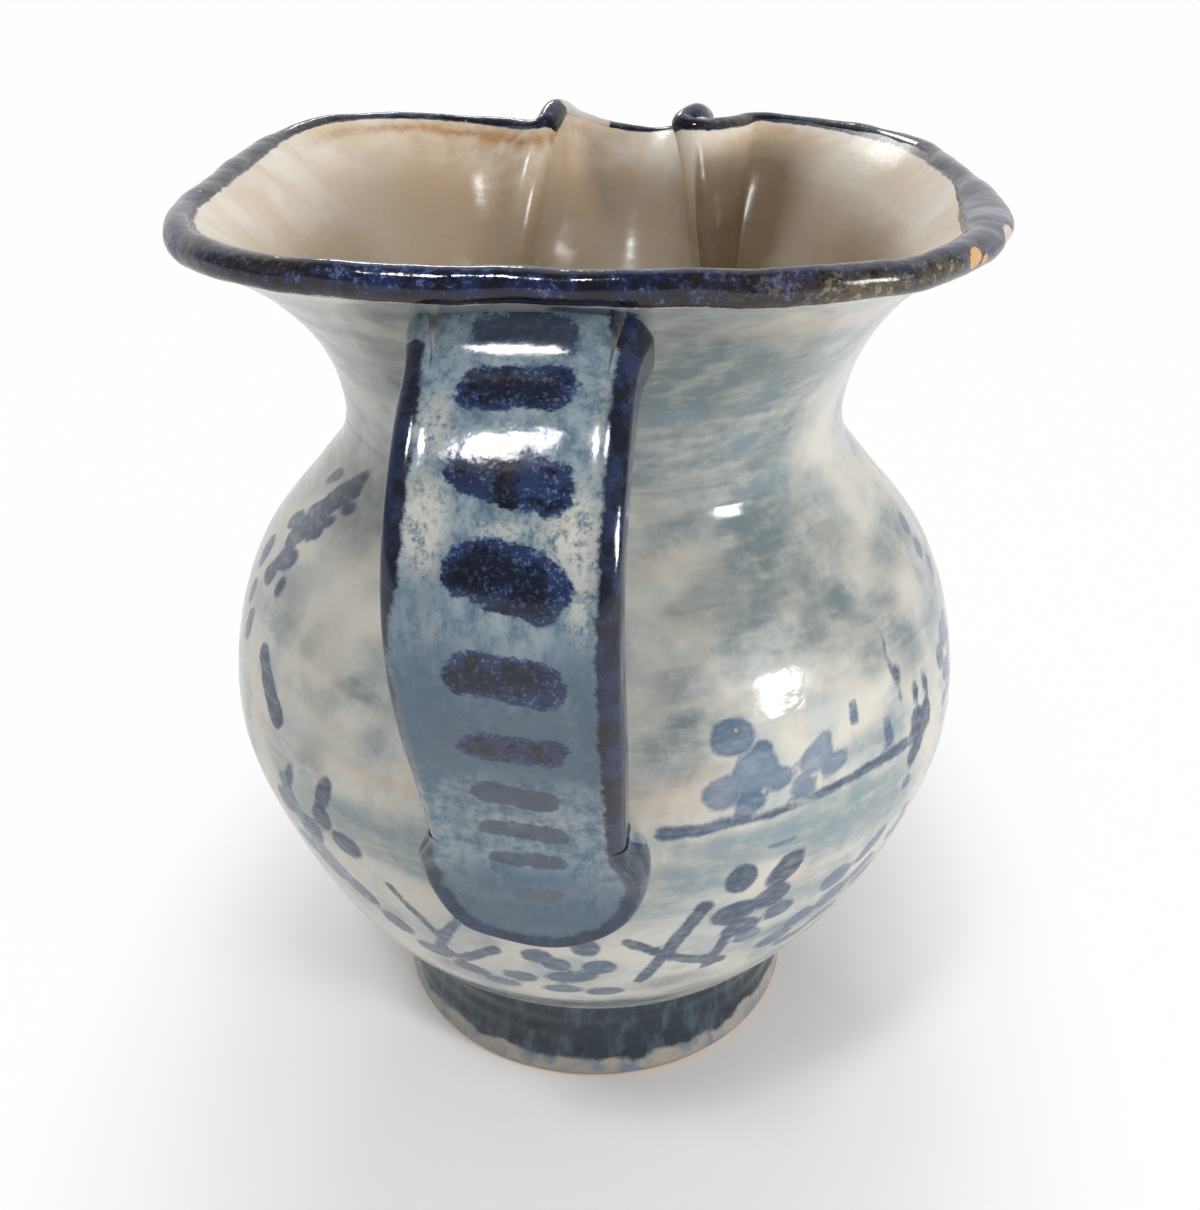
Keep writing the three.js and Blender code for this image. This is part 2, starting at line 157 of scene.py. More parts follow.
class Skin:
    """A closed surface on a grid of points: rows by columns, whose columns join up."""

    SHARP = radians(48)

    def __init__(self, name: str, grid: Array, ring: bool = False) -> None:
        """Keep the grid, with no marks on it yet.

        Args:
            name: The piece's name.
            grid: Rows by columns by 3, in millimetres about the vessel's axis.
            ring: True when the last row joins the first, False when both ends are capped.
        """
        self.name, self.grid, self.ring = name, grid, ring
        self.fields: dict[str, Array] = {}

    def mark(self, **fields: Array) -> "Skin":
        """Keep named values for the grid's points, which the glaze reads.

        Args:
            fields: For each name, a value for every point, or an array that spreads to that.

        Returns:
            The same surface.
        """
        shape = self.grid.shape[:2]
        for name, values in fields.items():
            self.fields[name] = np.broadcast_to(np.asarray(values, float), shape)
        return self

    def faces(self) -> tuple[Array, Array]:
        """Quads between the rows and, unless the surface is a ring, a fan of triangles at each end.

        Returns:
            The corners of the quads and of the triangles, as numbers of points.
        """
        rows, cols = self.grid.shape[:2]
        i = np.arange(rows if self.ring else rows - 1)[:, None] * cols
        a = np.arange(cols)
        b, up = (a + 1) % cols, (i + cols) % (rows * cols)
        quads = np.stack([i + a, i + b, up + b, up + a], -1).reshape(-1, 4)
        if self.ring:
            return quads, np.zeros((0, 3), int)
        last = (rows - 1) * cols
        low = np.stack([np.full(cols, rows * cols), b, a], -1)
        high = np.stack([np.full(cols, rows * cols + 1), last + a, last + b], -1)
        return quads, np.vstack([low, high])

    def build(self, axis: Array) -> bpy.types.Object:
        """Make the mesh, with all its faces turned outwards.

        Args:
            axis: Where the vessel's axis stands, in millimetres.

        Returns:
            The finished object, at the origin, with its place in its mesh.
        """
        cols = self.grid.shape[1]
        points = self.grid.reshape(-1, 3) + axis
        values = {k: v.reshape(-1) for k, v in self.fields.items()}
        if not self.ring:
            # The middle of each end, for its fan
            points = np.vstack([points, points[:cols].mean(0), points[-cols:].mean(0)])
            values = {k: np.append(v, [v[:cols].mean(), v[-cols:].mean()])
                      for k, v in values.items()}
        quads, tris = self.faces()
        corner = points[np.vstack([quads[:, [0, 1, 2]], quads[:, [0, 2, 3]], tris])]
        volume = np.einsum("ij,ij->i", corner[:, 0], np.cross(corner[:, 1], corner[:, 2])).sum()
        if volume < 0:
            quads, tris = quads[:, ::-1], tris[:, ::-1]
        mesh = bpy.data.meshes.new(self.name)
        mesh.vertices.add(len(points))
        mesh.vertices.foreach_set("co", (points * MM).astype(np.float32).ravel())
        loops = np.concatenate([quads.ravel(), tris.ravel()]).astype(np.int32)
        mesh.loops.add(len(loops))
        mesh.loops.foreach_set("vertex_index", loops)
        sizes = np.concatenate([np.full(len(quads), 4), np.full(len(tris), 3)])
        mesh.polygons.add(len(sizes))
        starts = np.concatenate([[0], np.cumsum(sizes)[:-1]]).astype(np.int32)
        mesh.polygons.foreach_set("loop_start", starts)
        mesh.update(calc_edges=True)
        mesh.shade_smooth()
        mesh.set_sharp_from_angle(angle=self.SHARP)
        for key, value in values.items():
            layer = mesh.attributes.new(key, "FLOAT", "POINT")
            layer.data.foreach_set("value", value.astype(np.float32))
        piece = bpy.data.objects.new(self.name, mesh)
        bpy.context.scene.collection.objects.link(piece)
        log.info("%s: %d faces", self.name, len(sizes))
        return piece


# Brushwork: marks in millimetres on an unrolled surface


class Tone(Enum):
    """The kinds of colour a brush leaves."""

    INK = "ink"
    BRUSH = "brush"
    WASH = "wash"
    TEAL = "teal"
    ROSE = "rose"
    CREAM = "cream"


@dataclass(frozen=True)
class Dab:
    """One press of a round brush: an oval at a place, its half sizes, its tilt and its load."""

    across: float
    up: float
    half_width: float
    half_height: float
    tilt: float = 0.0
    load: float = 1.0
    tone: Tone = Tone.BRUSH

    def square(self, x: Array, y: Array) -> Array:
        """The square of the oval's scaled radius, which is 1 on its outline.

        Args:
            x: Millimetres across from the mark's centre.
            y: Millimetres up from the mark's centre.

        Returns:
            A value for each point.
        """
        c, s = cos(radians(self.tilt)), sin(radians(self.tilt))
        a, b = (c * x + s * y) / self.half_width, (c * y - s * x) / self.half_height
        return a * a + b * b

    def distance(self, x: Array, y: Array) -> Array:
        """Signed distance to the oval: its scaled radius minus 1, times the smaller half size."""
        return (np.sqrt(self.square(x, y)) - 1) * min(self.half_width, self.half_height)


@dataclass(frozen=True)
class Pull:
    """One pull of the brush through some places, with its half width at the start and the end."""

    path: tuple[tuple[float, float], ...]
    start: float
    end: float
    load: float = 1.0
    tone: Tone = Tone.BRUSH


class Brushwork:
    """Gathers marks on an unrolled surface into fields of signed distance, load and wash."""

    LIMIT = 3.0
    FAR = 99.0
    SOFT_SIDE = 0.45

    def __init__(self, across: Array, up: Array, girth: Array | float, wraps: bool) -> None:
        """Keep where each point of the surface lies when it is unrolled.

        Args:
            across: Degrees around the axis where the surface wraps, otherwise millimetres.
            up: Millimetres along the profile.
            girth: Millimetres for each unit of across.
            wraps: Whether across is an angle that comes round to itself.
        """
        self.across, self.up = np.broadcast_arrays(across, up)
        self.girth = np.broadcast_to(girth, self.across.shape)
        self.wraps = wraps
        shape = self.across.shape
        sharp, soft = (Tone.INK, Tone.BRUSH), (Tone.WASH, Tone.TEAL, Tone.ROSE, Tone.CREAM)
        self.edge = {tone: np.full(shape, self.LIMIT) for tone in sharp}
        self.load = {tone: np.ones(shape) for tone in sharp}
        self.spread = {tone: np.zeros(shape) for tone in soft}

    def offset(self, across: float, up: float) -> tuple[Array, Array]:
        """Millimetres across and up from a place to every point."""
        dx = turn_between(self.across, across) if self.wraps else self.across - across
        return dx * self.girth, self.up - up

    def put(self, tone: Tone, distance: Array, load: float) -> None:
        """Lay a sharp mark down: keep the nearer edge, and the load of the mark that is nearer.

        Args:
            tone: Whether the mark is ink or brush.
            distance: Signed distance to the mark's edge, in millimetres.
            load: How much colour the brush carried, from 0 to 1.
        """
        nearer = distance < self.edge[tone]
        self.load[tone] = np.where(nearer, load, self.load[tone])
        self.edge[tone] = np.minimum(self.edge[tone], distance)

    def soak(self, tone: Tone, share: Array) -> None:
        """Lay a soft mark down: a share of what the surface doesn't hold of that tone yet."""
        held = self.spread[tone]
        self.spread[tone] = held + share * (1 - held)

    def dab(self, mark: Dab) -> None:
        """Lay one oval down, as a sharp mark or, for the soft tones, as a wash that fades out.

        Args:
            mark: The oval.
        """
        x, y = self.offset(mark.across, mark.up)
        if mark.tone in self.edge:
            self.put(mark.tone, mark.distance(x, y), mark.load)
        else:
            self.soak(mark.tone, mark.load * np.exp(-(mark.square(x, y) ** 1.5)))

    def pull(self, mark: Pull) -> None:
        """Lay a stroke down: distance to its line of straight pieces, less its changing half width.
        A soft tone is laid as a wash that fades out past the stroke's side.

        Args:
            mark: The stroke.
        """
        steps = len(mark.path) - 1
        nearest = np.full(self.across.shape, self.FAR)
        for k in range(steps):
            (ax, ay), (bx, by) = mark.path[k], mark.path[k + 1]
            x, y = self.offset(ax, ay)
            turn = turn_between(np.array(bx), ax) if self.wraps else bx - ax
            dx, dy = turn * self.girth, by - ay
            t = np.clip((x * dx + y * dy) / np.maximum(dx * dx + dy * dy, 1e-9), 0, 1)
            half = mark.start + (mark.end - mark.start) * (k + t) / steps
            nearest = np.minimum(nearest, np.hypot(x - t * dx, y - t * dy) - half)
        if mark.tone in self.edge:
            self.put(mark.tone, nearest, mark.load)
        else:
            self.soak(mark.tone, smooth(-nearest, -self.SOFT_SIDE, self.SOFT_SIDE) * mark.load)

    def lay(self, marks: Iterable[Dab | Pull]) -> "Brushwork":
        """Lay down every mark in turn.

        Args:
            marks: The marks.

        Returns:
            The same brushwork.
        """
        for mark in marks:
            (self.dab if isinstance(mark, Dab) else self.pull)(mark)
        return self

    def fields(self, bare: Array) -> dict[str, Array]:
        """The finished fields under the names that the glazes read.

        Args:
            bare: True where no sharp mark goes, such as the inside.

        Returns:
            For each tone its distance or its share, and the load of each sharp tone.
        """
        out = {t.value: np.where(bare, self.LIMIT, np.clip(v, -self.LIMIT, self.LIMIT))
               for t, v in self.edge.items()}
        out.update({t.value + "_load": v for t, v in self.load.items()})
        out.update({t.value: v for t, v in self.spread.items()})
        return out


# The forms of the creamer, in millimetres about the vessel's axis, with degrees round it


@dataclass(frozen=True)
class Fold:
    """A fold pinched into the wall: its place by the lip's points, its width, its share of the full
    depth, and the side that it turns to as it runs down."""

    place: float
    width: float
    share: float
    side: int


@dataclass(frozen=True)
class Rim:
    """The line that the lip follows: level and wavy, with two folds pinched in beside the spout.
    Its points are degrees, shares of the reach and shares of the spout's depth."""

    height: float = 108.5
    reach: float = 48.6
    spout_depth: float = 2.9
    roll: float = 1.52
    broad_angle: float = -20.0
    broad_spread: float = 16.0
    broad_extra: float = 0.95
    folds: tuple[Fold, ...] = (Fold(13.0, 1.0, 1.0, -1), Fold(22.0, 1.3, 0.75, 1))
    fold_turn: float = 13.0
    fold_spread: float = 3.0
    root_reach: float = 1.5
    points: tuple[tuple[float, float, float], ...] = (
        (-90, 0.9177, 0), (-76, 0.9383, 0), (-62, 0.9753, 0), (-49, 0.9835, -0.0345),
        (-36, 0.9383, -0.069), (-22, 0.8765, -0.069), (-6, 0.823, 0), (11, 0.8107, 0.069),
        (28, 0.8519, 0.1379), (45, 0.8848, 0.1724), (58, 0.893, 0.2069), (66.5, 0.8519, 0.2414),
        (69, 0.7449, 0.2414), (72.6, 0.6708, 0.2414), (77, 0.6831, 0.3793), (76.2, 0.7675, 0.7241),
        (77, 0.8642, 0.2414), (81.5, 0.9588, -0.5862), (88, 1, -1), (95, 0.9588, -0.6207),
        (101.5, 0.8642, 0.2069), (105.2, 0.7695, 0.7586), (109.8, 0.6872, 0.1379), (115, 0.7613, 0),
        (124, 0.8601, 0.1034), (135, 0.9053, 0.3103), (147, 0.93, 0.3793), (159, 0.8971, 0.2414),
        (172, 0.8395, 0.1379), (187, 0.8148, 0.069), (201, 0.8354, 0.0345), (214, 0.8971, 0),
        (226, 0.9588, 0), (238, 0.9877, 0), (250, 0.9712, 0), (260, 0.9424, 0),
    )

    def line(self, steps: int) -> tuple[Array, Array, Array]:
        """The lip's centre line, sampled steps times between its points.

        Args:
            steps: Samples for each point of the line.

        Returns:
            The centres, their angles in radians, and the roll's half width at each.
        """
        angle, share, rise = np.array(self.points).T
        p = polar(np.radians(angle), share * self.reach, self.height + rise * self.spout_depth)
        centre = round_spline(p, np.roll(p, 1, 0), np.roll(p, -1, 0), np.roll(p, -2, 0), steps)
        turn = np.arctan2(centre[:, 1], centre[:, 0])
        broad = bell(turn_between(np.degrees(turn), self.broad_angle), 0, self.broad_spread)
        return centre, turn, self.roll + self.broad_extra * broad

    def roots(self, steps: int) -> Array:
        """Where each sample leaves the neck: the mean direction of the lip on both sides of it,
        turned away from the spout near the two folds, which part as they run down.

        Args:
            steps: Samples for each point of the line.

        Returns:
            An angle in radians for each sample.
        """
        centre, _, _ = self.line(steps)
        way = unit(centre[:, :2])
        reach = round(self.root_reach * steps)
        total = sum(np.roll(way, k, 0) for k in range(-reach, reach + 1))
        at = np.arange(len(centre)) / steps
        spread = sum(f.side * bell(at, f.place, self.fold_spread) for f in self.folds)
        return np.arctan2(total[:, 1], total[:, 0]) + np.radians(self.fold_turn) * spread


@dataclass(frozen=True)
class Body:
    """The thrown form: its outline, wall, foot and the marks that the potter's fingers left. The
    swell and the draw are shares of the way from crease to belly and from belly to neck."""

    foot_height: float = 13.0
    foot_radius: float = 27.3
    waist_radius: float = 26.7
    crease_radius: float = 27.5
    recess_radius: float = 20.3
    recess_depth: float = 8.0
    floor_height: float = 14.0
    wall: float = 3.0
    belly_radius: float = 44.8
    belly_height: float = 47.0
    neck_radius: float = 28.9
    neck_height: float = 84.0
    ring_step: float = 4.1
    ring_depth: float = 0.03
    fine_step: float = 1.7
    calm: float = 8.0
    # Each broad swell's size, waves round, millimetres of height to a radian of twist, and shift
    swells: tuple[tuple[float, ...], ...] = ((0.10, 3, 15, 0), (0.07, 5, -9, 2))
    swell: tuple[tuple[float, float], ...] = ((0.2775, 0.1471), (0.5723, 0.3765), (0.8266, 0.6735))
    draw: tuple[tuple[float, float], ...] = (
        (0.0503, 0.2865), (0.2704, 0.5486), (0.6792, 0.7622), (0.9308, 0.8973),
    )

    def outline(self, steps: int = 40) -> tuple[Array, Array]:
        """The outside from the crease to the neck: a spline through the swell and the draw.

        Args:
            steps: Samples for each of the outline's spans.

        Returns:
            Radius and height of each sample, and the unit direction away from the clay there.
        """
        low, high = np.array(self.swell), np.array(self.draw)
        at = np.array([self.crease_radius, self.foot_height])
        mid = np.array([self.belly_radius, self.belly_height])
        top = np.array([self.neck_radius, self.neck_height])
        p = np.vstack([at, at + (mid - at) * low, mid, mid + (top - mid) * high, top])
        before, beyond = np.vstack([p[:1], p[:-2]]), np.vstack([p[2:], p[-1:]])
        leave, arrive = (p[1:] - before) / 2, (beyond - p[:-1]) / 2
        line = np.vstack([hermite(p[:-1], p[1:], leave, arrive, steps), p[-1:]])
        along = unit(np.gradient(line, axis=0))
        along[-1] = (0, 1)
        return line, np.stack([along[:, 1], -along[:, 0]], -1)

    def climb(self, height: Array | float) -> Array:
        """Millimetres along the outline from the crease to a height, straight up past the neck.

        Args:
            height: Millimetres over the table.

        Returns:
            How far each height is along the outline.
        """
        line, _ = self.outline()
        over = np.maximum(np.asarray(height, float) - self.neck_height, 0)
        return np.interp(height, line[:, 1], run(line)) + over

    def hand(self, angle: Array, height: Array) -> Array:
        """What a potter's hand leaves, in millimetres: a slow spiral of throwing rings and a few
        broad swells, each a sine of the angle and the height.

        Args:
            angle: Radians round the axis.
            height: Millimetres over the table.

        Returns:
            How far the surface stands out.
        """
        spiral = self.ring_depth * np.sin(2 * pi * height / self.ring_step + angle)
        waver = angle + 2 * np.sin(3 * angle)
        fine = 0.4 * self.ring_depth * np.sin(2 * pi * height / self.fine_step + waver)
        broad = sum(size * np.sin(waves * angle + height / twist + shift)
                    for size, waves, twist, shift in self.swells)
        fade = smooth(height, self.foot_height, self.foot_height + self.calm)
        return (spiral * (0.6 + 0.4 * np.sin(2 * angle + height / 20)) + fine + broad) * fade


class Side(IntEnum):
    """The sides of the vessel's wall."""

    OUTSIDE = 0
    INSIDE = 1
    UNDERSIDE = 2


@dataclass(frozen=True)
class Vessel:
    """The thrown body: the belly up to the neck, and the flared neck with the pinched spout. The
    upright and the bend are shares of the way from neck to lip, for the flared wall's curve."""

    body: Body = field(default_factory=Body)
    rim: Rim = field(default_factory=Rim)
    belly_steps: int = 12
    neck_steps: int = 20
    outline_steps: int = 14
    seam: float = 0.04
    boss_gap: float = 0.3
    pinch: float = 1.9
    upright: float = 0.37
    bend_out: float = 0.48
    bend_up: float = 0.83
    tuck: float = 0.12
    seam_ease: float = 0.16
    girth_limit: float = 46.0
    no_band: float = 12.0

    def sides(self, turn: Array, line: Array, away: Array, lift: float, sign: float) -> Array:
        """Round rows at an outline, moved along its normals by a lift and by the hand's marks.

        Args:
            turn: The columns' angles in radians.
            line: Radius and height of each row.
            away: The direction that looks out of the clay in each row.
            lift: Millimetres that the rows move outwards.
            sign: 1 outside and -1 inside, for the side that the hand's marks stand out to.

        Returns:
            Rows by columns of points.
        """
        lift = lift + sign * self.body.hand(turn, line[:, 1:])
        return polar(turn, line[:, :1] + away[:, :1] * lift, line[:, 1:] + away[:, 1:] * lift)

    def floor(self, last: Array) -> Array:
        """The floor inside: a quadratic curve down from the wall, then a flat with a faint swirl.

        Args:
            last: Radius and height of the wall's last row.

        Returns:
            Radius and height of each row.
        """
        b = self.body
        bend, flat = last[0] - b.wall, last[0] - 3 * b.wall
        t = np.linspace(0, 1, 10)[1:, None]
        curve = ((1 - t) ** 2 * last + 2 * t * (1 - t) * np.array([bend, b.floor_height])
                 + t**2 * np.array([flat, b.floor_height]))
        out = np.linspace(flat, 1.5, 14)[1:]
        swirl = 0.25 * np.cos(out / 2.2) * smooth(out, flat, flat - 4)
        return np.vstack([curve, np.stack([out, b.floor_height + swirl], -1)])

    def belly(self) -> Skin:
        """The belly: underneath, outside from the crease to the neck, and inside to the floor.

        Returns:
            The surface, with its brushwork.
        """
        b = self.body
        turn = self.rim.roots(self.belly_steps)
        line, away = b.outline(self.outline_steps)
        # A thin row beside the seam keeps the shading even across it
        line = np.vstack([line[:-1], line[-1] - (0, self.seam), line[-1]])
        away = np.vstack([away, away[-1]])
        inner, turned = line[::-2], away[::-2]
        keep = (inner - b.wall * turned)[:, 1] > b.floor_height + b.wall
        inner, turned = inner[keep], turned[keep]
        floor = self.floor((inner - b.wall * turned)[-1])
        boss = b.recess_radius - self.boss_gap
        under = np.array([
            [2, b.recess_depth], [boss - 1, b.recess_depth], [boss, b.recess_depth + 0.6],
            [boss, b.foot_height - 0.4], [boss + 2, b.foot_height]])
        parts = (
            (Side.UNDERSIDE, polar(turn, under[:, :1], under[:, 1:])),
            (Side.OUTSIDE, self.sides(turn, line, away, 0, 1)),
            (Side.INSIDE, self.sides(turn, inner, turned, -b.wall, -1)),
            (Side.INSIDE, polar(turn, floor[:, :1], floor[:, 1:])),
        )
        grid = np.concatenate([rows for _, rows in parts])
        side = np.repeat([side for side, _ in parts], [len(rows) for _, rows in parts])
        return self.paint(Skin("vessel_belly", grid), side)

    def wall(self, turn: Array, centre: Array, t: Array) -> Array:
        """The middle of the flared wall without its folds: a cubic Bezier curve in each column,
        upright at the neck, bending out into the lip.

        Args:
            turn: Each column's angle at the neck, in radians.
            centre: Each column's point on the lip's line.
            t: Shares of the way up, one for each row.

        Returns:
            Rows by columns of points.
        """
        b = self.body
        start = polar(turn, b.neck_radius - b.wall / 2, b.neck_height)
        climb = centre[:, 2] - b.neck_height
        leave, arrive = start.copy(), start + (centre - start) * self.bend_out
        leave[:, 2] += self.upright * climb
        arrive[:, 2] = b.neck_height + self.bend_up * climb
        return bezier(t[:, None, None], start, leave, arrive, centre)

    def flare(self, turn: Array, centre: Array, t: Array) -> Array:
        """The flared wall's middle with its two folds: narrow ridges that stand inwards, highest
        half way up.

        Args:
            turn: Each column's angle at the neck, in radians, all the way round.
            centre: Each column's point on the lip's line.
            t: Shares of the way up, one for each row.

        Returns:
            Rows by columns of points.
        """
        rim = self.rim
        at = np.arange(len(turn)) * len(rim.points) / len(turn)
        pinch = sum(bell(at, f.place, f.width, 1.5) * f.share for f in rim.folds)
        share = t[:, None, None]
        rise = polar(turn, 1, 0) * pinch[:, None] * self.pinch * (share * (1 - share) * 4) ** 1.3
        return self.wall(turn, centre, t) - rise

    def moved(self, turn: Array, centre: Array, t: Array, lift: Array) -> Array:
        """The flared wall's middle moved along its normal, which is around crossed with up, by a
        lift and by the hand's marks, which fade out towards the lip.

        Args:
            turn: Each column's angle at the neck, in radians.
            centre: Each column's point on the lip's line.
            t: Shares of the way up, one for each row.
            lift: Millimetres outwards, one for each row.

        Returns:
            Rows by columns of points.
        """
        mid = self.flare(turn, centre, t)
        around = np.roll(mid, -1, 1) - np.roll(mid, 1, 1)
        above, below = np.minimum(t + 0.01, 1), np.maximum(t - 0.01, 0)
        up = self.flare(turn, centre, above) - self.flare(turn, centre, below)
        hand = self.body.hand(turn, mid[..., 2]) * smooth(1 - t, 0.02, 0.3)[:, None]
        lift = lift[:, None] + np.sign(lift)[:, None] * hand
        return mid + unit(np.cross(around, up)) * lift[..., None]

    def neck(self) -> Skin:
        """The neck: the flared wall's middle moved half a wall to each side along its normals, and
        eased onto the belly's last rows, so that no seam shows.

        Returns:
            The surface, with its brushwork.
        """
        b = self.body
        turn = self.rim.roots(self.neck_steps)
        centre, lip_turn, _ = self.rim.line(self.neck_steps)
        # A thin row beside the seam, and the last row a little short of the lip's middle
        t = np.concatenate([[0, 0.002], np.linspace(0.02, 0.985, 46)])
        thin = b.wall / 2 - self.rim.roll + self.tuck
        half = b.wall / 2 - thin * smooth(t, 0.6, 0.96)
        outside = self.moved(turn, centre, t, half)
        inside = self.moved(turn, centre, t[::-1], -half[::-1])
        line, away = (part[-1:] for part in b.outline(self.outline_steps))
        ease = (1 - smooth(t, 0, self.seam_ease))[:, None, None]
        outside = outside + (self.sides(turn, line, away, 0, 1) - outside[:1]) * ease
        inside = inside + (self.sides(turn, line, away, -b.wall, -1) - inside[-1:]) * ease[::-1]
        side = np.repeat([Side.OUTSIDE, Side.INSIDE], len(t))
        skin = self.paint(Skin("vessel_neck", np.concatenate([outside, inside]), ring=True), side)
        rows = self.flare(turn, centre, np.concatenate([t, t[::-1]]))
        far = np.linalg.norm(self.flare(turn, centre, np.ones(1)) - rows, axis=-1)
        return skin.mark(**self.mouth(np.degrees(lip_turn)[None, :], far, (side > 0)[:, None]))

    def mouth(self, around: Array, far: Array, inner: Array) -> dict[str, Array]:
        """How the glaze lies near the lip: a dark band that runs down at one side and stops at the
        spout's crest, tan streaks, and painted shade inside, darker further down and deepest in the
        fold's shadow.

        Args:
            around: Degrees round the rim, one for each column.
            far: Millimetres from each point to the lip's line.
            inner: True in the rows that are inside.

        Returns:
            The marks by name.
        """
        below = np.clip(far - self.rim.roll, -3, self.no_band)
        tan = 0.75 * bell(below, 1.2, 0.9) * near(around, 130, 36, 16)
        tan = tan + 0.6 * bell(below, 1.2, 1.2) * near(around, 62, 12, 4)
        tan = tan + 0.55 * near(around, 118, 32, 8) * smooth(below, 24, 3)
        # Painted shade: the shadow that the right fold casts on the inner wall beside it
        shade = near(around, 66, 24, 2) * smooth(below, 0, 4)
        shade = shade * smooth(turn_between(around, 73.5), 0.5, -0.5)
        # Painted shade: darker with distance below the lip, where less light reaches, plus the
        # fold's shadow; the glaze reads it as deep
        deep = smooth(below, 0, 12) * (0.57 + 0.35 * smooth(far, 30, 14)) + 0.95 * shade
        reach = 0.5 * near(around, 40, 34, 12) - 0.6
        crest = near(around, 100.5, 6, 3.5)
        return {"band": below - reach, "tan": tan, "no_band": crest * inner,
                "deep": np.clip(deep, 0, 1.5)}

    def paint(self, skin: Skin, side: Array) -> Skin:
        """Lay the outside's brushwork on a surface, mark which of its points are inside, and give
        the inside its painted shade.

        Args:
            skin: The surface to mark.
            side: Each row's side of the wall.

        Returns:
            The same surface.
        """
        x, y, height = np.moveaxis(skin.grid, -1, 0)
        girth = np.radians(np.minimum(np.hypot(x, y), self.girth_limit))
        work = Brushwork(np.degrees(np.arctan2(y, x)), self.body.climb(height), girth, wraps=True)
        side = side[:, None]
        skin.mark(**work.lay(Motifs(self.body).all()).fields(side > 0))
        # deep is painted shade on the belly's inside, darker towards the neck than on the floor
        return skin.mark(inner=side == Side.INSIDE, bare=side == Side.UNDERSIDE, band=self.no_band,
                         tan=0, no_band=0, deep=0.35 + 0.27 * smooth(height, 30, 84))


@dataclass(frozen=True)
class Lip:
    """The rolled lip: an oval section carried along the rim's line. Its patches are a strength,
    then degrees and reach round the rim, then degrees and reach round the section, where 0 faces
    out, 90 up, 180 in and 270 down."""

    rim: Rim = field(default_factory=Rim)
    steps: int = 26
    sides: int = 30
    wear: tuple[tuple[float, ...], ...] = (
        (0.8, -57, 4, -10, 45), (0.6, -47, 4, 0, 50), (0.3, -58, 15, 10, 80),
        (0.3, -120, 10, 50, 50), (0.4, 70, 3, 90, 90))
    misty: tuple[tuple[float, ...], ...] = (
        (1, -10, 22, 60, 90), (0.6, 158, 14, 20, 80), (0.7, -160, 14, 40, 80))
    chips: tuple[tuple[float, ...], ...] = (
        (1, -41.3, 1.5, 12, 40), (0.9, -38.6, 0.9, -10, 25), (0.6, 145, 1.2, 185, 40))
    pink: tuple[tuple[float, ...], ...] = ((1, -28.5, 2.2, 5, 42),)
    # Each lump's size, waves along the lip, waves round the section, and shift
    lumps: tuple[tuple[float, ...], ...] = ((0.03, 41, 1, 0), (0.06, 11, -2, 1), (0.01, 97, 3, 0))

    def build(self) -> Skin:
        """Carry the oval along the line: out times cosine and up times sine, with soft lumps.

        Returns:
            The surface, with its marks.
        """
        centre, turn, half = self.rim.line(self.steps)
        along = unit(np.roll(centre, -1, 0) - np.roll(centre, 1, 0))
        out = unit(np.stack([along[:, 1], -along[:, 0], np.zeros(len(along))], -1))
        up = unit(np.cross(out, along))
        w = (2 * pi * np.arange(self.sides) / self.sides)[None, :]
        way = np.cumsum(np.linalg.norm(np.roll(centre, -1, 0) - centre, axis=1))[:, None]
        whole = 2 * pi / way[-1]
        lump = 0.06 * np.sin(23 * whole * way + 2 * np.sin(w))
        for size, waves, turns, shift in self.lumps:
            lump = lump + size * np.sin(waves * whole * way + turns * w + shift)
        grid = (centre[:, None] + out[:, None] * ((half[:, None] + lump) * np.cos(w))[..., None]
                + up[:, None] * ((self.rim.roll + lump) * np.sin(w))[..., None])
        skin = Skin("rim_roll", grid, ring=True)
        return skin.mark(**self.marks(np.degrees(turn)[:, None], np.degrees(w)))

    def marks(self, around: Array, face: Array) -> dict[str, Array]:
        """Where the lip is bare, worn, chipped, pink or misty, and where its crest faces up, which
        the glaze paints bluer, in part as sheen.

        Args:
            around: Degrees round the rim, as a column.
            face: Degrees round the section, as a row.

        Returns:
            The marks by name.
        """

        def patched(patches: tuple[tuple[float, ...], ...]) -> Array:
            """The sum of some soft ovals.

            Args:
                patches: Each oval's strength, place and reach round the rim and the section.

            Returns:
                A value for each point.
            """
            total = np.zeros(np.broadcast_shapes(around.shape, face.shape))
            for strength, place, reach, facing, spread in patches:
                a = turn_between(around, place) / reach
                b = turn_between(face, facing) / spread
                total = total + strength * np.exp(-((a * a + b * b) ** 2))
            return total

        under = near(face, 258, 60, 34)
        spout = near(around, 100.5, 6, 3.5) * near(face, 140, 100, 70)
        return {"open": np.clip(np.maximum(under, spout), 0, 1),
                "wear": np.minimum(patched(self.wear), 1), "chip": patched(self.chips),
                "pink": patched(self.pink), "misty": patched(self.misty),
                # crest: the up-facing side, painted bluer, partly the glaze's own blue and partly
                # the sky's sheen on it
                "crest": bell(turn_between(face, 55), 0, 75, 4)}


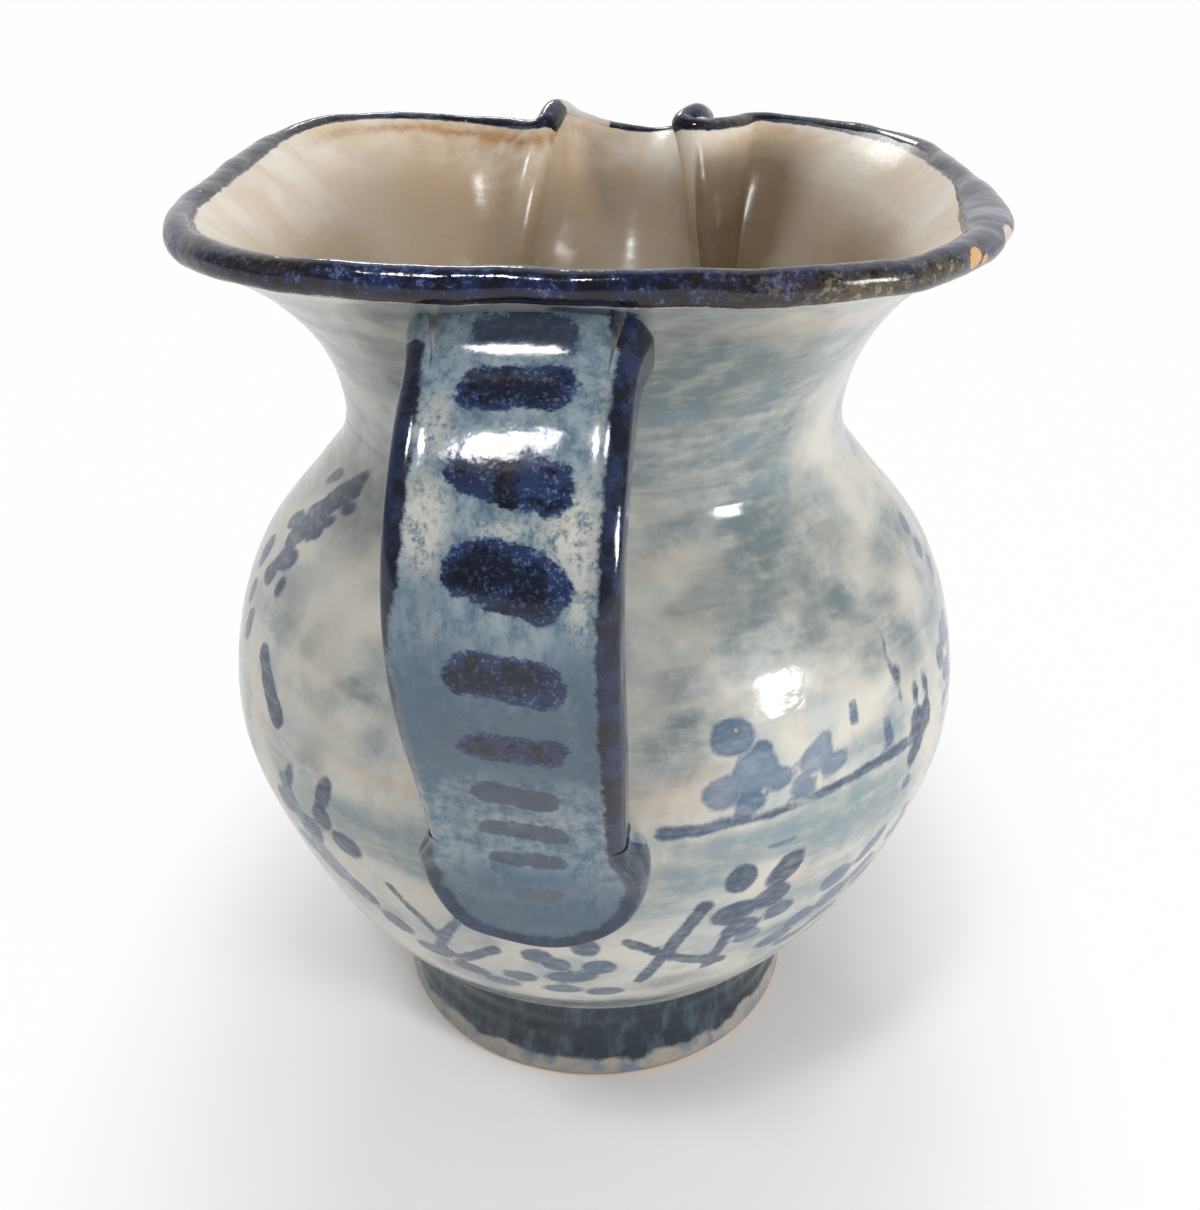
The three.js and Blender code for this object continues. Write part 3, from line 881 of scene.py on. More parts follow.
@dataclass(frozen=True)
class Foot:
    """The turned foot: a ring with a soft waist, a flat rest face and a recess within."""

    body: Body = field(default_factory=Body)
    sides: int = 360
    top_gap: float = 0.02
    corner: float = 1.3
    # Each wave's size, its count round the ring, and its shift
    waves: tuple[tuple[float, float, float], ...] = ((0.10, 3, 1), (0.06, 7, 0), (0.04, 13, 2))

    def build(self) -> Skin:
        """Turn the foot's profile: rounded corners by eased steps between its knees.

        Returns:
            The surface, marked with each point's height and which of it is bare clay.
        """
        b = self.body
        turn = np.radians(np.arange(self.sides) * 360 / self.sides)[None, :]
        up = np.linspace(0, 1, 46)
        z = up * (b.foot_height - self.top_gap)
        outer = (b.foot_radius + (b.waist_radius - b.foot_radius) * np.sin(pi * up * 0.86)
                 + (b.crease_radius - b.foot_radius) * smooth(up, 0.6, 1)
                 - (1 - quarter(z, self.corner)))
        inner_z = np.linspace(b.foot_height - self.top_gap, 0, 30)
        inner = (b.recess_radius + 0.9 * (1 - smooth(inner_z, 0, 1.4))
                 + 0.15 * np.sin(inner_z / 1.3))
        rest = np.linspace(inner[-1], outer[0], 9)[1:-1]
        reach = np.concatenate([outer, inner, rest])[:, None]
        height = np.concatenate([z, inner_z, 0 * rest])[:, None]
        wave = sum(size * np.sin(count * turn + shift) for size, count, shift in self.waves)
        on = smooth(height, 0.4, 5) * (reach > b.recess_radius + 2)
        radius = reach + on * (wave + 0.05 * np.sin(height * 2.1 + turn))
        grid = polar(turn, np.minimum(radius, b.crease_radius), height)
        bare = np.concatenate([smooth(0.7 - z, 0, 0.5), np.ones(len(inner) + len(rest))])
        return Skin("foot_ring", grid, ring=True).mark(low=height, bare=bare[:, None])


@dataclass(frozen=True)
class Handle:
    """The pulled strap handle: a root on the neck, a strap with a rolled edge at each side, and the
    pad that was pressed on the belly. Its surfaces are laid out by s, millimetres along the
    strap's middle line, and x, millimetres across it."""

    body: Body = field(default_factory=Body)
    rim: Rim = field(default_factory=Rim)
    half_width: float = 9.6
    strap_half: float = 7.2
    half_thick: float = 2.2
    bead: float = 0.32
    bead_place: float = 8.2
    bead_width: float = 0.95
    crown: float = 0.26
    squareness: float = 7.0
    root_end: float = 8.7
    root_half: float = 8.9
    root_squareness: float = 3.2
    root_sink: float = 0.4
    root_leave: float = 0.55
    root_arrive: float = 0.45
    end_squareness: float = 26.0
    root_up: float = 4.2
    root_down: float = 5.4
    fillet: float = 2.75
    fillet_place: float = 10.2
    edge_start: float = 9.6
    edge_columns: int = 34
    edge_middle: tuple[float, float] = (8.3, 0.9)
    curl_reach: float = 7.0
    curl_out: float = 1.3
    curl_up: float = 0.5
    tip: float = 1.5
    strap_end: float = 63.3
    pad_half: float = 11.5
    pad_length: float = 16.4
    pad_lift: float = 2.7
    pad_sink: float = 1.4
    pad_top: float = 57.5
    pad_square: float = 0.40
    pad_reach: float = 9.5
    pad_tail: float = 0.62
    pad_heel: float = 3.4
    pad_rim: float = 1.5
    line: tuple[tuple[float, float], ...] = (
        (-31, 99.5), (-36.5, 102.2), (-42, 101.6), (-47, 99), (-51.3, 95), (-54.4, 90.3),
        (-55.9, 85), (-55.6, 79.5), (-54, 74), (-51.9, 68.5), (-50, 63.5), (-48.4, 59), (-47, 54),
    )

    def path(self, s: Array) -> tuple[Array, Array, Array]:
        """The strap's middle line: a centripetal spline through its places, straight past its end.

        Args:
            s: Millimetres along it.

        Returns:
            Places, directions along and directions outwards, as y and z.
        """
        p = np.array(self.line, float)
        before = np.vstack([2 * p[0] - p[1], p[:-2]])
        beyond = np.vstack([p[2:], 2 * p[-1] - p[-2]])
        line = np.vstack([round_spline(p[:-1], before, p[1:], beyond, 80), p[-1:]])
        way = run(line)
        along = unit(np.gradient(line, way, axis=0))
        at = np.stack([np.interp(s, way, line[:, k]) for k in (0, 1)], -1)
        d = unit(np.stack([np.interp(s, way, along[:, k]) for k in (0, 1)], -1))
        at = at + np.maximum(s - way[-1], 0)[..., None] * d
        return at, d, np.stack([d[..., 1], -d[..., 0]], -1)

    def place(self, s: Array, x: Array, lift: Array) -> Array:
        """Points across and over the middle line.

        Args:
            s: Millimetres along the line.
            x: Millimetres sideways.
            lift: Millimetres outwards.

        Returns:
            A point for each.
        """
        s, x, lift = np.broadcast_arrays(s, x, lift)
        at, _, out = self.path(s)
        return np.concatenate([x[..., None], at + out * lift[..., None]], -1)

    def lift(self, x: Array, s: Array, over: Array | bool) -> Array:
        """How far the face stands from the middle line: a superellipse with a raised edge and, on
        top, a fillet under the lip.

        Args:
            x: Millimetres across.
            s: Millimetres along.
            over: True on the outer face, False underneath.

        Returns:
            Signed millimetres outwards.
        """
        share = np.minimum(np.abs(x) / self.width(s), 1)
        swell = bell(np.abs(x), self.bead_place, self.bead_width)
        crown = self.crown * (1 - (x / self.bead_place) ** 2) * (np.abs(x) < self.bead_place)
        hand = (0.06 * np.sin(s / 2.9 + x / 5) + 0.04 * np.sin(s / 5.3 - x / 3 + 1)
                + 0.004 * np.sin(x * 1.9 + 0.6 * np.sin(s / 6)))
        top = self.half_thick - 0.1 + self.bead * swell + crown + hand
        rise = bell(np.maximum(s, self.fillet_place), self.fillet_place, 2.5) * smooth(s, 7.5, 10.4)
        top = top + self.fillet * rise * np.clip(1 - (x / self.half_width) ** 4, 0, 1)
        low = -(self.half_thick + 0.12 * swell + 0.6 * hand)
        fall = (1 - share**self.squareness) ** (1 / self.squareness)
        return np.where(over, top, low) * fall

    def width(self, s: Array) -> Array:
        """Half the strap's width along it, with the slight waver of a pulled strap."""
        return self.half_width + 0.10 * np.sin(s / 6.1) - 0.12 * np.sin(s / 9.7 + 1)

    def rows(self, start: float, end: float, count: int) -> Array:
        """Rows along the strap as a column, with a thin one beside each end for an even seam."""
        inner = np.linspace(start, end, count)[1:-1]
        return np.concatenate([[start, start + 0.04], inner, [end - 0.04, end]])[:, None]

    def skin(self, name: str, grid: Array, s: Array, x: Array, over: Array, rim: Array) -> Skin:
        """A surface with the strap's dabs and the dark line of its edges on it.

        Args:
            name: The piece's name.
            grid: Rows by columns of points.
            s: Millimetres along the strap.
            x: Millimetres across the strap, for each point.
            over: True on the outer face and False underneath.
            rim: Millimetres from each point to the dark line's inner edge, positive inside it.

        Returns:
            The surface.
        """
        work = Brushwork(x, s, 1.0, wraps=False).lay(handle_marks())
        skin = Skin(name, grid).mark(**work.fields(~over))
        return skin.mark(along=s, band=np.clip(rim, -3, 12))

    def edge_line(self, s: Array, x: Array, over: Array) -> Array:
        """Millimetres inwards from the dark line along the strap's edges, which thins on the left
        past the strap's middle and lies lower underneath.

        Args:
            s: Millimetres along the strap.
            x: Millimetres across it.
            over: True on the outer face and False underneath.

        Returns:
            A value for each point, negative under the line.
        """
        left = 8.0 + 1.2 * smooth(s, 30, 38) - 0.5 * smooth(s, 12, 20) * (1 - smooth(s, 26, 34))
        left = left + 4 * smooth(s, 13.4, 11.6)
        reach = np.where(x > 0, 7.75 - 0.9 * smooth(s, 13.5, 11), left)
        below = np.where(x > 0, 7.4, np.maximum(8.2, left))
        return np.where(over, reach, below) - np.abs(x)

    def root(self, vessel: Vessel) -> Skin:
        """The root: cubic Bezier lines from the neck's wall to the strap's first section.

        Args:
            vessel: The vessel that it is luted on.

        Returns:
            The surface.
        """
        turn = np.linspace(0, 2 * pi, 96, endpoint=False)[None, :]
        c, s = np.cos(turn), np.sin(turn)

        def square(v: Array, power: float) -> Array:
            """A cosine or sine bent towards a square."""
            return np.sign(v) * np.abs(v) ** (2 / power)

        # The strap's section, nearly a rectangle
        x_end, over = self.strap_half * square(c, self.end_squareness), s > 0
        lift = self.lift(x_end, np.array(self.root_end), over)
        lift = lift * np.abs(square(s, self.end_squareness))
        end = self.place(np.array([[self.root_end]]), x_end, lift)
        # The root's foot, a rounder section sunk into the neck's wall
        centre, _, _ = self.rim.line(4)
        wall = vessel.wall(np.array([-pi / 2]), centre[:1], np.linspace(0, 1, 80))[:, 0]
        out, up = np.hypot(wall[:, 0], wall[:, 1]), wall[:, 2]
        half = np.where(s > 0, self.root_up, self.root_down)
        low = self.line[0][1] + half * square(s, self.root_squareness)
        across = self.root_half * square(c, self.root_squareness)
        radius = np.interp(low, up, out)
        start = polar(-pi / 2 + across / radius, radius - self.root_sink, low)
        tip = np.interp(low, up, np.gradient(out) / np.gradient(up))
        away = unit(polar(-pi / 2 + across / radius, 1, -tip))
        _, along, _ = self.path(np.array(self.root_end))
        t = self.rows(0, 1, 26)[..., None]
        reach = np.linalg.norm(end - start, axis=-1, keepdims=True)
        leave = start + away * self.root_leave * reach
        arrive = end - np.array([0, along[0], along[1]]) * self.root_arrive * reach
        grid = bezier(t, start, leave, arrive, end)
        share = t[..., 0]
        x = across + (x_end - across) * share
        s = self.root_end * (0.3 + 0.7 * share)
        rim = self.edge_line(s, x, over) + 0.6 * (1 - share)
        return self.skin("handle_root", grid, s, x, over, rim)

    def strap(self) -> Skin:
        """The strap between its rolled edges: its two faces and the sides that the edges cover.

        Returns:
            The surface.
        """
        face = self.strap_half * np.sin(np.linspace(-pi / 2, pi / 2, 48))
        s, x = self.rows(self.root_end, self.strap_end, 230), np.concatenate([face, face[::-1]])
        over = np.arange(len(x)) < len(face)
        grid = self.place(s, x, self.lift(x, s, over))
        return self.skin("handle_strap", grid, s, x, over, self.edge_line(s, x, over))

    def edge(self, name: str, hand: int) -> Skin:
        """One rolled edge: the rest of the strap's section, ending at the root in a free curl.

        The section is the superellipse's end; over the first millimetres it is scaled about its own
        middle by a circle's quarter, and moved outwards and up.

        Args:
            name: The piece's name.
            hand: 1 for the right-hand edge, -1 for the left.

        Returns:
            The surface.
        """
        first, count = self.edge_start, self.edge_columns
        s = self.rows(first, self.strap_end, 240)
        close = first + self.tip * (1 - np.cos(np.linspace(0, pi / 2, 14)))[1:-1, None]
        s = np.sort(np.concatenate([s[:1], close, s[s > first + self.tip + 0.05][:, None]]), 0)
        # The superellipse's end, closed by two columns along the strap's side
        stop = np.arccos((self.strap_half / self.half_width) ** (self.squareness / 2))
        tau = np.linspace(stop, -stop, count)[None, :]
        share = np.cos(tau) ** (2 / self.squareness)
        x = np.concatenate([self.width(s) * share, np.full((len(s), 2), self.strap_half)], 1)
        over = np.concatenate([tau >= 0, [[False, True]]], 1) & (s > 0)
        column = np.arange(count + 2)
        x = np.where((column == 0) | (column >= count - 1), self.strap_half, x)
        lift = self.lift(hand * x, s, over)
        top, low = lift[:, [0]], lift[:, [count - 1]]
        lift[:, count:] = low + (top - low) * np.array([[1 / 3, 2 / 3]])
        # The free end, closed about the section's middle and curled outwards and up
        across, out = self.edge_middle
        grow = np.maximum(quarter(s - first, self.tip), 0.02)
        free = 1 - smooth(s, first - 1, first + self.curl_reach)
        x = across + (x - across) * grow * (1 - 0.1 * free) + self.curl_out * free**1.6
        lift = out + (lift - out) * grow * (1 - 0.15 * free) + self.curl_up * free
        grid, rim = self.place(s, hand * x, lift), self.edge_line(s, hand * x, over)
        return self.skin(name, grid, s, hand * x, over, rim)

    def terminal(self, body: Body) -> Skin:
        """The pad: the strap's full section carried on, eased into a rounded pad on the belly.

        Each row is a closed loop. On the pad it follows the belly's outline at an angle of x over
        the radius, lifted by a rounded rim that depends on the distance to the pad's outline.

        Args:
            body: The thrown form that it was pressed on.

        Returns:
            The surface.
        """
        # Shares of the pad's length, closer at both ends; the last stops short of a single point
        low = self.pad_tail
        tail = low + (1 - low) * np.sin(np.linspace(0, pi / 2, 44))[1:-1]
        v = np.concatenate([[0, 0.002], np.linspace(0.02, low, 40), tail, [0.9995]])[:, None]
        past = np.clip((v - self.pad_square) / (1 - self.pad_square), 0, 1) ** 2.3
        broad = self.half_width + (self.pad_half - self.half_width) * smooth(v, 0.0, 0.34)
        x = broad * np.sqrt(1 - past) * np.sin(np.linspace(-pi / 2, pi / 2, 60))
        s = self.strap_end + self.pad_length * v
        inwards = (1 - np.clip(np.sqrt((x / broad) ** 2 + past), 0, 1)) * self.pad_reach
        ridge = 0.55 * bell(inwards, 1.3, 0.9)
        rise = self.pad_lift + 0.5 * smooth(inwards, 2, 8) + self.pad_heel * (1 - smooth(v, 0, low))
        hand = 0.10 * np.sin(x / 1.9 + v * 7) + 0.08 * np.sin(v * 19 + x / 4)
        shell = quarter(inwards, self.pad_rim)
        lift = -self.pad_sink + (rise + ridge + hand + self.pad_sink) * shell
        line, away = body.outline()
        way = run(line)
        down = np.interp(self.pad_top, line[:, 1], way) - self.pad_length * v
        at = [np.interp(down, way, line[:, k]) for k in (0, 1)]
        out = [np.interp(down, way, away[:, k]) for k in (0, 1)]
        ease = smooth(v, 0, 0.42)

        def face(over: bool, lift: Array) -> Array:
            """One face: the strap's own section, eased into a lift over the belly.

            Args:
                over: True for the outer face, False for the one underneath.
                lift: Millimetres along the belly's normal.

            Returns:
                Rows by columns of points.
            """
            strap = self.place(s, x, self.lift(x * self.width(s) / broad, s, over))
            pad = polar(-pi / 2 + x / at[0], at[0] + out[0] * lift, at[1] + out[1] * lift)
            return strap * (1 - ease[..., None]) + pad * ease[..., None]

        under = face(False, np.full_like(x, -self.pad_sink))
        grid = np.concatenate([face(True, lift), under[:, ::-1]], 1)
        over = np.arange(grid.shape[1]) < x.shape[1]
        x, inwards = (np.concatenate([part, part[:, ::-1]], 1) for part in (x, inwards))
        rim = self.edge_line(s, x, over) * (1 - ease) + (inwards - 2.5) * ease
        return self.skin("handle_terminal", grid, s, x, over, np.where(over, rim, 3))


class Motifs:
    """The landscape painted round the vessel, in the old blue-on-cream manner: clumps of dabs for
    bushes, crossed strokes for fences, a line of ground and loose washes for sky and water. Places
    are degrees round the axis and millimetres over the table, and sizes are millimetres."""

    SEED = 11
    BUSH_DABS = 8
    # For each dab of a bush: its turn and share of the way out, half sizes, tilt and load
    BUSH_LEAST = (0, 0.3, 0.40, 0.34, -30, 0.75)
    BUSH_MOST = (2 * pi, 1.25, 0.66, 0.54, 30, 1.0)
    # For each loose wash: its half sizes, how far it is moved, and its load
    WASH_LEAST = (4, 2, -8, -3, 0.4)
    WASH_MOST = (8, 4.5, 8, 3, 0.8)

    def __init__(self, body: Body) -> None:
        """Start with nothing painted.

        Args:
            body: The thrown form, whose outline turns a height into a way along the profile.
        """
        self.body = body
        self.marks: list[Dab | Pull] = []
        self.chance = np.random.default_rng(self.SEED)

    def dabs(self, *places: tuple[float, ...], load: float, tone: Tone = Tone.BRUSH) -> None:
        """Add ovals.

        Args:
            places: Each one's angle, height, half width and half height, then, where they aren't 0
                and 1, its tilt and its share of the load.
            load: How much colour the brush carried.
            tone: The kind of colour.
        """
        for angle, height, wide, tall, *rest in places:
            tilt, share = (*rest, *(0.0, 1.0)[len(rest):])
            up = float(self.body.climb(height))
            self.marks.append(Dab(angle, up, wide, tall, tilt, load * share, tone))

    def line(self, start: float, end: float, *places: tuple[float, float], load: float,
             tone: Tone = Tone.BRUSH) -> None:
        """Add one pull of the brush.

        Args:
            start: Its half width at the start.
            end: Its half width at the end.
            places: The angles and heights that it goes through.
            load: How much colour the brush carried.
            tone: The kind of colour.
        """
        path = tuple((a, float(self.body.climb(z))) for a, z in places)
        self.marks.append(Pull(path, start, end, load, tone))

    def bush(self, angle: float, height: float, size: float, load: float) -> None:
        """Add a clump of dabs scattered round a place.

        Args:
            angle: The angle of its middle.
            height: The height of its middle.
            size: Its half height.
            load: How much colour the brush carried at most.
        """
        for _ in range(self.BUSH_DABS):
            turn, far, wide, tall, tilt, part = self.chance.uniform(self.BUSH_LEAST, self.BUSH_MOST)
            place = angle + 1.45 * size * far * cos(turn), height + size * far * sin(turn)
            self.dabs((*place, size * wide, size * tall, tilt), load=load * part)

    def fence(self, angle: float, height: float) -> None:
        """Add two crossed strokes, a rail and a post.

        Args:
            angle: The angle of the crossing.
            height: The height of the crossing.
        """
        for start, end, load, places in (
                (0.85, 0.7, 0.92, ((6, 6), (0, 0), (-6, -5.5))),
                (0.75, 0.8, 0.9, ((-6.5, 4), (0, -0.5), (7, -5))),
                (0.7, 0.6, 0.85, ((-9, -1.2), (9, -2.6))),
                (0.7, 0.6, 0.9, ((-9.5, 3.5), (-9, -6)))):
            self.line(start, end, *((angle + a, height + z) for a, z in places), load=load)

    def under_the_lip(self) -> None:
        """The handle's pale blue glaze where it ran up the neck to the lip, with a pool of blue
        that also paints the shadow under the lip.
        """
        self.dabs((-90, 105, 9, 2.2), (-94, 105.6, 5, 1.6), (-85, 105.4, 5, 1.8), load=1,
                  tone=Tone.WASH)
        # Painted shadow in part: the dark line and pool right of the strap, under the lip
        self.line(0.35, 0.55, (-87, 106.6), (-82, 106.3), (-78.6, 105.6), load=1)
        self.dabs((-81.5, 105.9, 1.5, 0.7), load=0.9, tone=Tone.INK)

    def by_the_handle(self) -> None:
        """The part to the handle's right: bush, hill, twigs and a dark tree on a ground line."""
        self.line(0.8, 0.42, (-74, 54.2), (-69, 54), (-64, 54.2), (-59, 54.1), load=0.8)
        self.line(0.36, 0.8, (-59, 54.1), (-50, 54.5), (-43, 54.7), (-38, 54.6), (-33, 54.3),
                  load=0.85)
        self.dabs((-64, 63, 2.5, 2), (-60, 61.1, 1.3, 1.2, 0, 1.1), (-61, 59.3, 2.6, 2.3, 0, 0.72),
                  (-66, 57.6, 2.1, 1.8, 0, 0.7), (-62, 55.9, 1.7, 1.4, 0, 1.05),
                  (-57.5, 57.6, 1.6, 1.2, 20, 0.6), load=0.68)
        self.dabs((-51.5, 58.6, 2.3, 1.7, 0), (-48.5, 57.2, 2, 1.2, 20),
                  (-54, 56, 1.6, 1.3, 0, 1.2), (-50, 60.2, 1.1, 0.9), load=0.36)
        self.line(0.5, 0.6, (-44, 62.5), (-44, 60.7), load=0.75)
        self.line(0.6, 0.75, (-37.4, 58.7), (-37, 56.4), load=0.75)
        self.line(0.2, 0.28, (-34, 67), (-35, 64.8), (-34, 62.2), (-33, 59.6), load=0.8)
        self.dabs((-33, 62.6, 0.6, 0.95), (-29, 59, 0.75, 1.4), (-25.5, 58.8, 0.7, 1.6, 10),
                  (-29, 54.8, 1.7, 2.9, 0, 1.15), (-31, 51.9, 1.2, 1.2), (-32, 49, 1, 1, 0, 0.8),
                  (-29, 43.7, 0.9, 0.9, 0, 0.7), (-26, 55.5, 1.2, 2, 0), load=0.92)
        self.line(0.22, 0.3, (-59, 50.1), (-55, 50), load=0.5)
        self.dabs((-6, 71.4, 1.9, 1.1, 25), (-8, 69.2, 1.8, 1, 20), (-7, 66.7, 1.7, 1.1, 25),
                  load=0.55)

    def below_the_handle(self) -> None:
        """The part under the pad and to both sides of it: bushes and fences by the foot."""
        self.line(0.55, 0.6, (-113, 42), (-107, 34.6), load=0.88)
        self.line(0.6, 0.85, (-101, 41.2), (-105, 36.6), (-108, 32.3), (-105, 30.4), (-98, 34.8),
                  load=0.82)
        self.dabs((-91.5, 34.7, 1.8, 1.7, 10), (-84, 37, 1.6, 1.9), (-82, 32.6, 2, 1.8, -10),
                  (-86.5, 30, 3, 1.6, 8), (-88, 26.4, 2.4, 1.4), (-81, 25.8, 2.4, 1.4),
                  (-95, 29, 2.1, 1.5), (-88.5, 33, 1.6, 1.6), (-99, 26.4, 2.2, 1.3), load=0.82)
        self.line(1, 0.8, (-67.6, 43.2), (-71, 36.4), (-75, 28.6), load=0.92)
        self.line(0.75, 0.95, (-78, 38), (-70, 33.4), (-62, 30.4), load=0.9)
        self.line(0.8, 0.7, (-62, 37.2), (-64, 29.6), load=0.9)
        self.dabs((-62.7, 46.5, 1.9, 2.2), (-55.8, 46, 2.9, 1.8, 50), (-62.5, 40.6, 2.7, 2.2, 8),
                  (-57, 41.8, 2.3, 2, 20), (-60.5, 37.2, 2.4, 1.8), (-54.4, 38.4, 2, 1.7, 0, 0.9),
                  (-58.5, 34.8, 2, 1.4, 0, 0.8), load=0.92)
        self.dabs((-37.5, 41.8, 2.8, 1.4, 50), (-44, 39.6, 2.3, 2.1, 15),
                  (-29.5, 40.8, 2.2, 1.6, 40), (-42, 35.2, 2.4, 1.9, 20), (-36, 37.4, 2.2, 1.6, 30),
                  (-48, 34, 2.4, 1.6, 10), (-33, 34.4, 2.3, 1.5, 20), (-52, 31, 2.4, 1.5, 10),
                  (-40, 30.6, 2.6, 1.4, 10), (-47, 29, 2.4, 1.2, 5), load=0.76)
        self.dabs((-123, 51.4, 1.1, 2.6, -18), (-128, 44.6, 2.3, 2, 20),
                  (-119.5, 45.8, 2.2, 1.7, -10), (-124, 48, 1.7, 1.7),
                  (-131.5, 50.3, 0.8, 2.3, -20), (-121.5, 37.6, 3, 1.8, -35),
                  (-127, 38.8, 2.2, 1.8, -20), (-115.5, 33.8, 2.4, 1.6, -25),
                  (-110, 30.4, 2.4, 1.4, -10), (-134, 46, 1.9, 1.8), (-132, 40.5, 1.9, 1.6),
                  (-104, 28.4, 2.4, 1.3), load=0.9)
        self.dabs((-158, 68.6, 1.6, 2.2, 15), (-155, 72.9, 1.9, 1.3, 30), (-150, 75.3, 2.1, 1, 35),
                  (-152, 78.4, 1.9, 0.9, 35), (-146, 77.6, 2, 0.9, 35),
                  (-140.5, 80.2, 1.7, 0.7, 40), (-139, 77.4, 1.4, 0.8, 30),
                  (-147.5, 70.6, 2.6, 1.5, 20), (-150, 68.4, 1.7, 1.5), (-144, 68.6, 1, 1.3),
                  (-145, 73.8, 1.9, 1, 35), (-143, 75.4, 1.6, 0.8, 35), load=0.86)
        self.dabs((-151, 62.1, 1.4, 2.1, -15), (-155, 64.8, 1.3, 1.6), load=0.88)
        self.line(1.3, 1.7, (-141.3, 61.8), (-138.2, 59.4), (-135, 57), load=1)
        self.line(1.5, 2, (-141, 79.2), (-145.5, 77.2), (-150.5, 72.4), load=0.9)
        self.line(1, 1.4, (-133, 49.5), (-128, 42.5), (-120.5, 36.8), load=0.62)

    def far_side(self) -> None:
        """The sides that face away: the same bushes, fences, ground and tree carried round."""
        self.line(0.75, 0.45, (-18, 53.6), (-6, 54.2), (8, 53.8), (20, 54.1), load=0.8)
        self.line(0.45, 0.8, (34, 54.4), (50, 53.9), (66, 54.3), (80, 53.8), load=0.8)
        self.line(0.8, 0.4, (98, 54.2), (116, 53.8), (132, 54.4), (150, 54), load=0.82)
        self.line(0.4, 0.7, (166, 54.5), (178, 54), (192, 54.2), load=0.8)
        for angle, height, size, load in (
                (-12, 58.5, 3.2, 0.8), (4, 44.5, 3.4, 0.85), (26, 58, 3, 0.7), (47, 45, 3.6, 0.85),
                (62, 59.5, 3.4, 0.75), (92, 44, 3.4, 0.85), (104, 58.2, 2.9, 0.7),
                (136, 45.5, 3.5, 0.85), (148, 59, 3.2, 0.8), (176, 59, 3.4, 0.85),
                (188, 44, 3.3, 0.85), (160, 69, 2.4, 0.7)):
            self.bush(angle, height, size, load)
        for angle in (-18, 26, 70, 115, 164):
            self.fence(angle, 36)
        for angle in (38, 124):
            self.line(0.3, 0.5, (angle + 1, 72), (angle, 65), (angle + 0.5, 55), load=0.9)
            self.dabs((angle - 3, 70, 1.8, 0.9, 35), (angle + 4, 68.4, 1.8, 0.9, -35),
                      (angle - 3, 65.8, 1.9, 1, 30), (angle + 4, 64, 1.9, 1, -30),
                      (angle - 2, 61.6, 1.6, 1, 20), load=0.85)
        for angle in (-2, 18, 80, 150):
            self.line(0.5, 0.65, (angle, 62.6), (angle + 0.4, 60.4), load=0.75)

    def washes(self) -> None:
        """The thin colours: sky in grey-blue, water in green-blue, warm rose and bare cream."""
        self.dabs((-64, 97.5, 9, 6), (-50, 96, 7.5, 4.2), (-64, 89.5, 6.5, 4.6), (-72, 95, 5, 8),
                  (-52, 79, 5.5, 5), (-58, 75.5, 5, 3), (-43, 94, 4.5, 2.6), (-73, 86, 4, 3.5),
                  load=0.72, tone=Tone.WASH)
        for places in (
                ((-76, 100.6), (-62, 101.2), (-44, 100.2)), ((-75, 97.6), (-60, 97.2), (-38, 97.6)),
                ((-74, 94.4), (-58, 93.6), (-38, 94.2)), ((-75, 91.2), (-62, 91.8), (-50, 91)),
                ((-76, 88), (-66, 87.4), (-58, 88.2)), ((-100, 96), (-112, 97), (-128, 95))):
            self.line(1.2, 0.9, *places, load=0.5, tone=Tone.WASH)
        for places in (
                ((-76, 64), (-72, 68.6), (-65, 71.4), (-57, 70.8), (-52, 67.6)),
                ((-70, 60.5), (-66, 64.5), (-60, 66), (-55, 65)),
                ((-48, 66.8), (-40, 69), (-31, 67)), ((-55, 84), (-52, 78), (-54, 72)),
                ((-48, 83.5), (-46, 77), (-44, 72)),
                ((-104, 72), (-114, 75), (-124, 72), (-130, 66)),
                ((-106, 63), (-118, 65), (-127, 60))):
            self.line(1, 1.5, *places, load=0.34, tone=Tone.WASH)
        self.dabs((-42, 71.5, 4, 2.2), (-30, 69.4, 3.6, 2.2), (-47, 70, 3.8, 2.2),
                  (-65, 73.7, 4.6, 2.2), (-58, 72.5, 3.6, 2), (-20, 72, 5, 2.6),
                  (-72, 64.5, 4, 4.5), (-42, 86.4, 4.6, 3.6), (-28, 64, 3.6, 3.6),
                  (-38, 65.5, 3, 2.4), load=0.75, tone=Tone.WASH)
        self.dabs((-112, 66, 7, 7), (-128, 62, 5, 8), (-104, 74, 6, 6), (-120, 58.5, 7, 2),
                  (-140, 66, 4.5, 5), (-150, 84, 7, 5), load=0.22, tone=Tone.WASH)
        self.dabs((-105, 90, 6, 6), (-122, 96, 8, 5), (-42, 86.5, 6.5, 5.5), (-34, 77, 5.5, 5),
                  (-48, 74, 5, 3), (-66, 82, 5, 3.4), load=0.6, tone=Tone.WASH)
        self.dabs((-69, 47.6, 5.5, 2.6, 0, 1.2), (-55, 40.5, 9, 2.6), (-40, 57.5, 6, 1.6),
                  (-74, 44, 4, 4), load=0.75, tone=Tone.TEAL)
        self.dabs((-76, 66.5, 3, 3), (-60, 65.5, 4, 1.2), load=0.7, tone=Tone.CREAM)
        self.dabs((-55, 50.8, 10, 2.4, 0, 0.7), (-42, 50, 8, 3.2), (-62, 50.8, 6, 1.8),
                  (-33, 47.5, 4, 3.6), (-116, 50.2, 8, 2.6), (-126, 48, 5, 3), (-107, 47.5, 5.5, 3),
                  (-100, 52.5, 4, 2), load=0.8, tone=Tone.TEAL)
        for places in (
                ((-72, 51.8), (-60, 51.6), (-48, 52.4), (-36, 52)),
                ((-64, 49.2), (-52, 48.8), (-38, 49.4)), ((-52, 46.4), (-44, 46), (-32, 46.8)),
                ((-104, 51), (-116, 50.4), (-128, 51.6)), ((-104, 47.6), (-114, 46.6), (-122, 48))):
            self.line(1, 0.8, *places, load=0.45, tone=Tone.TEAL)
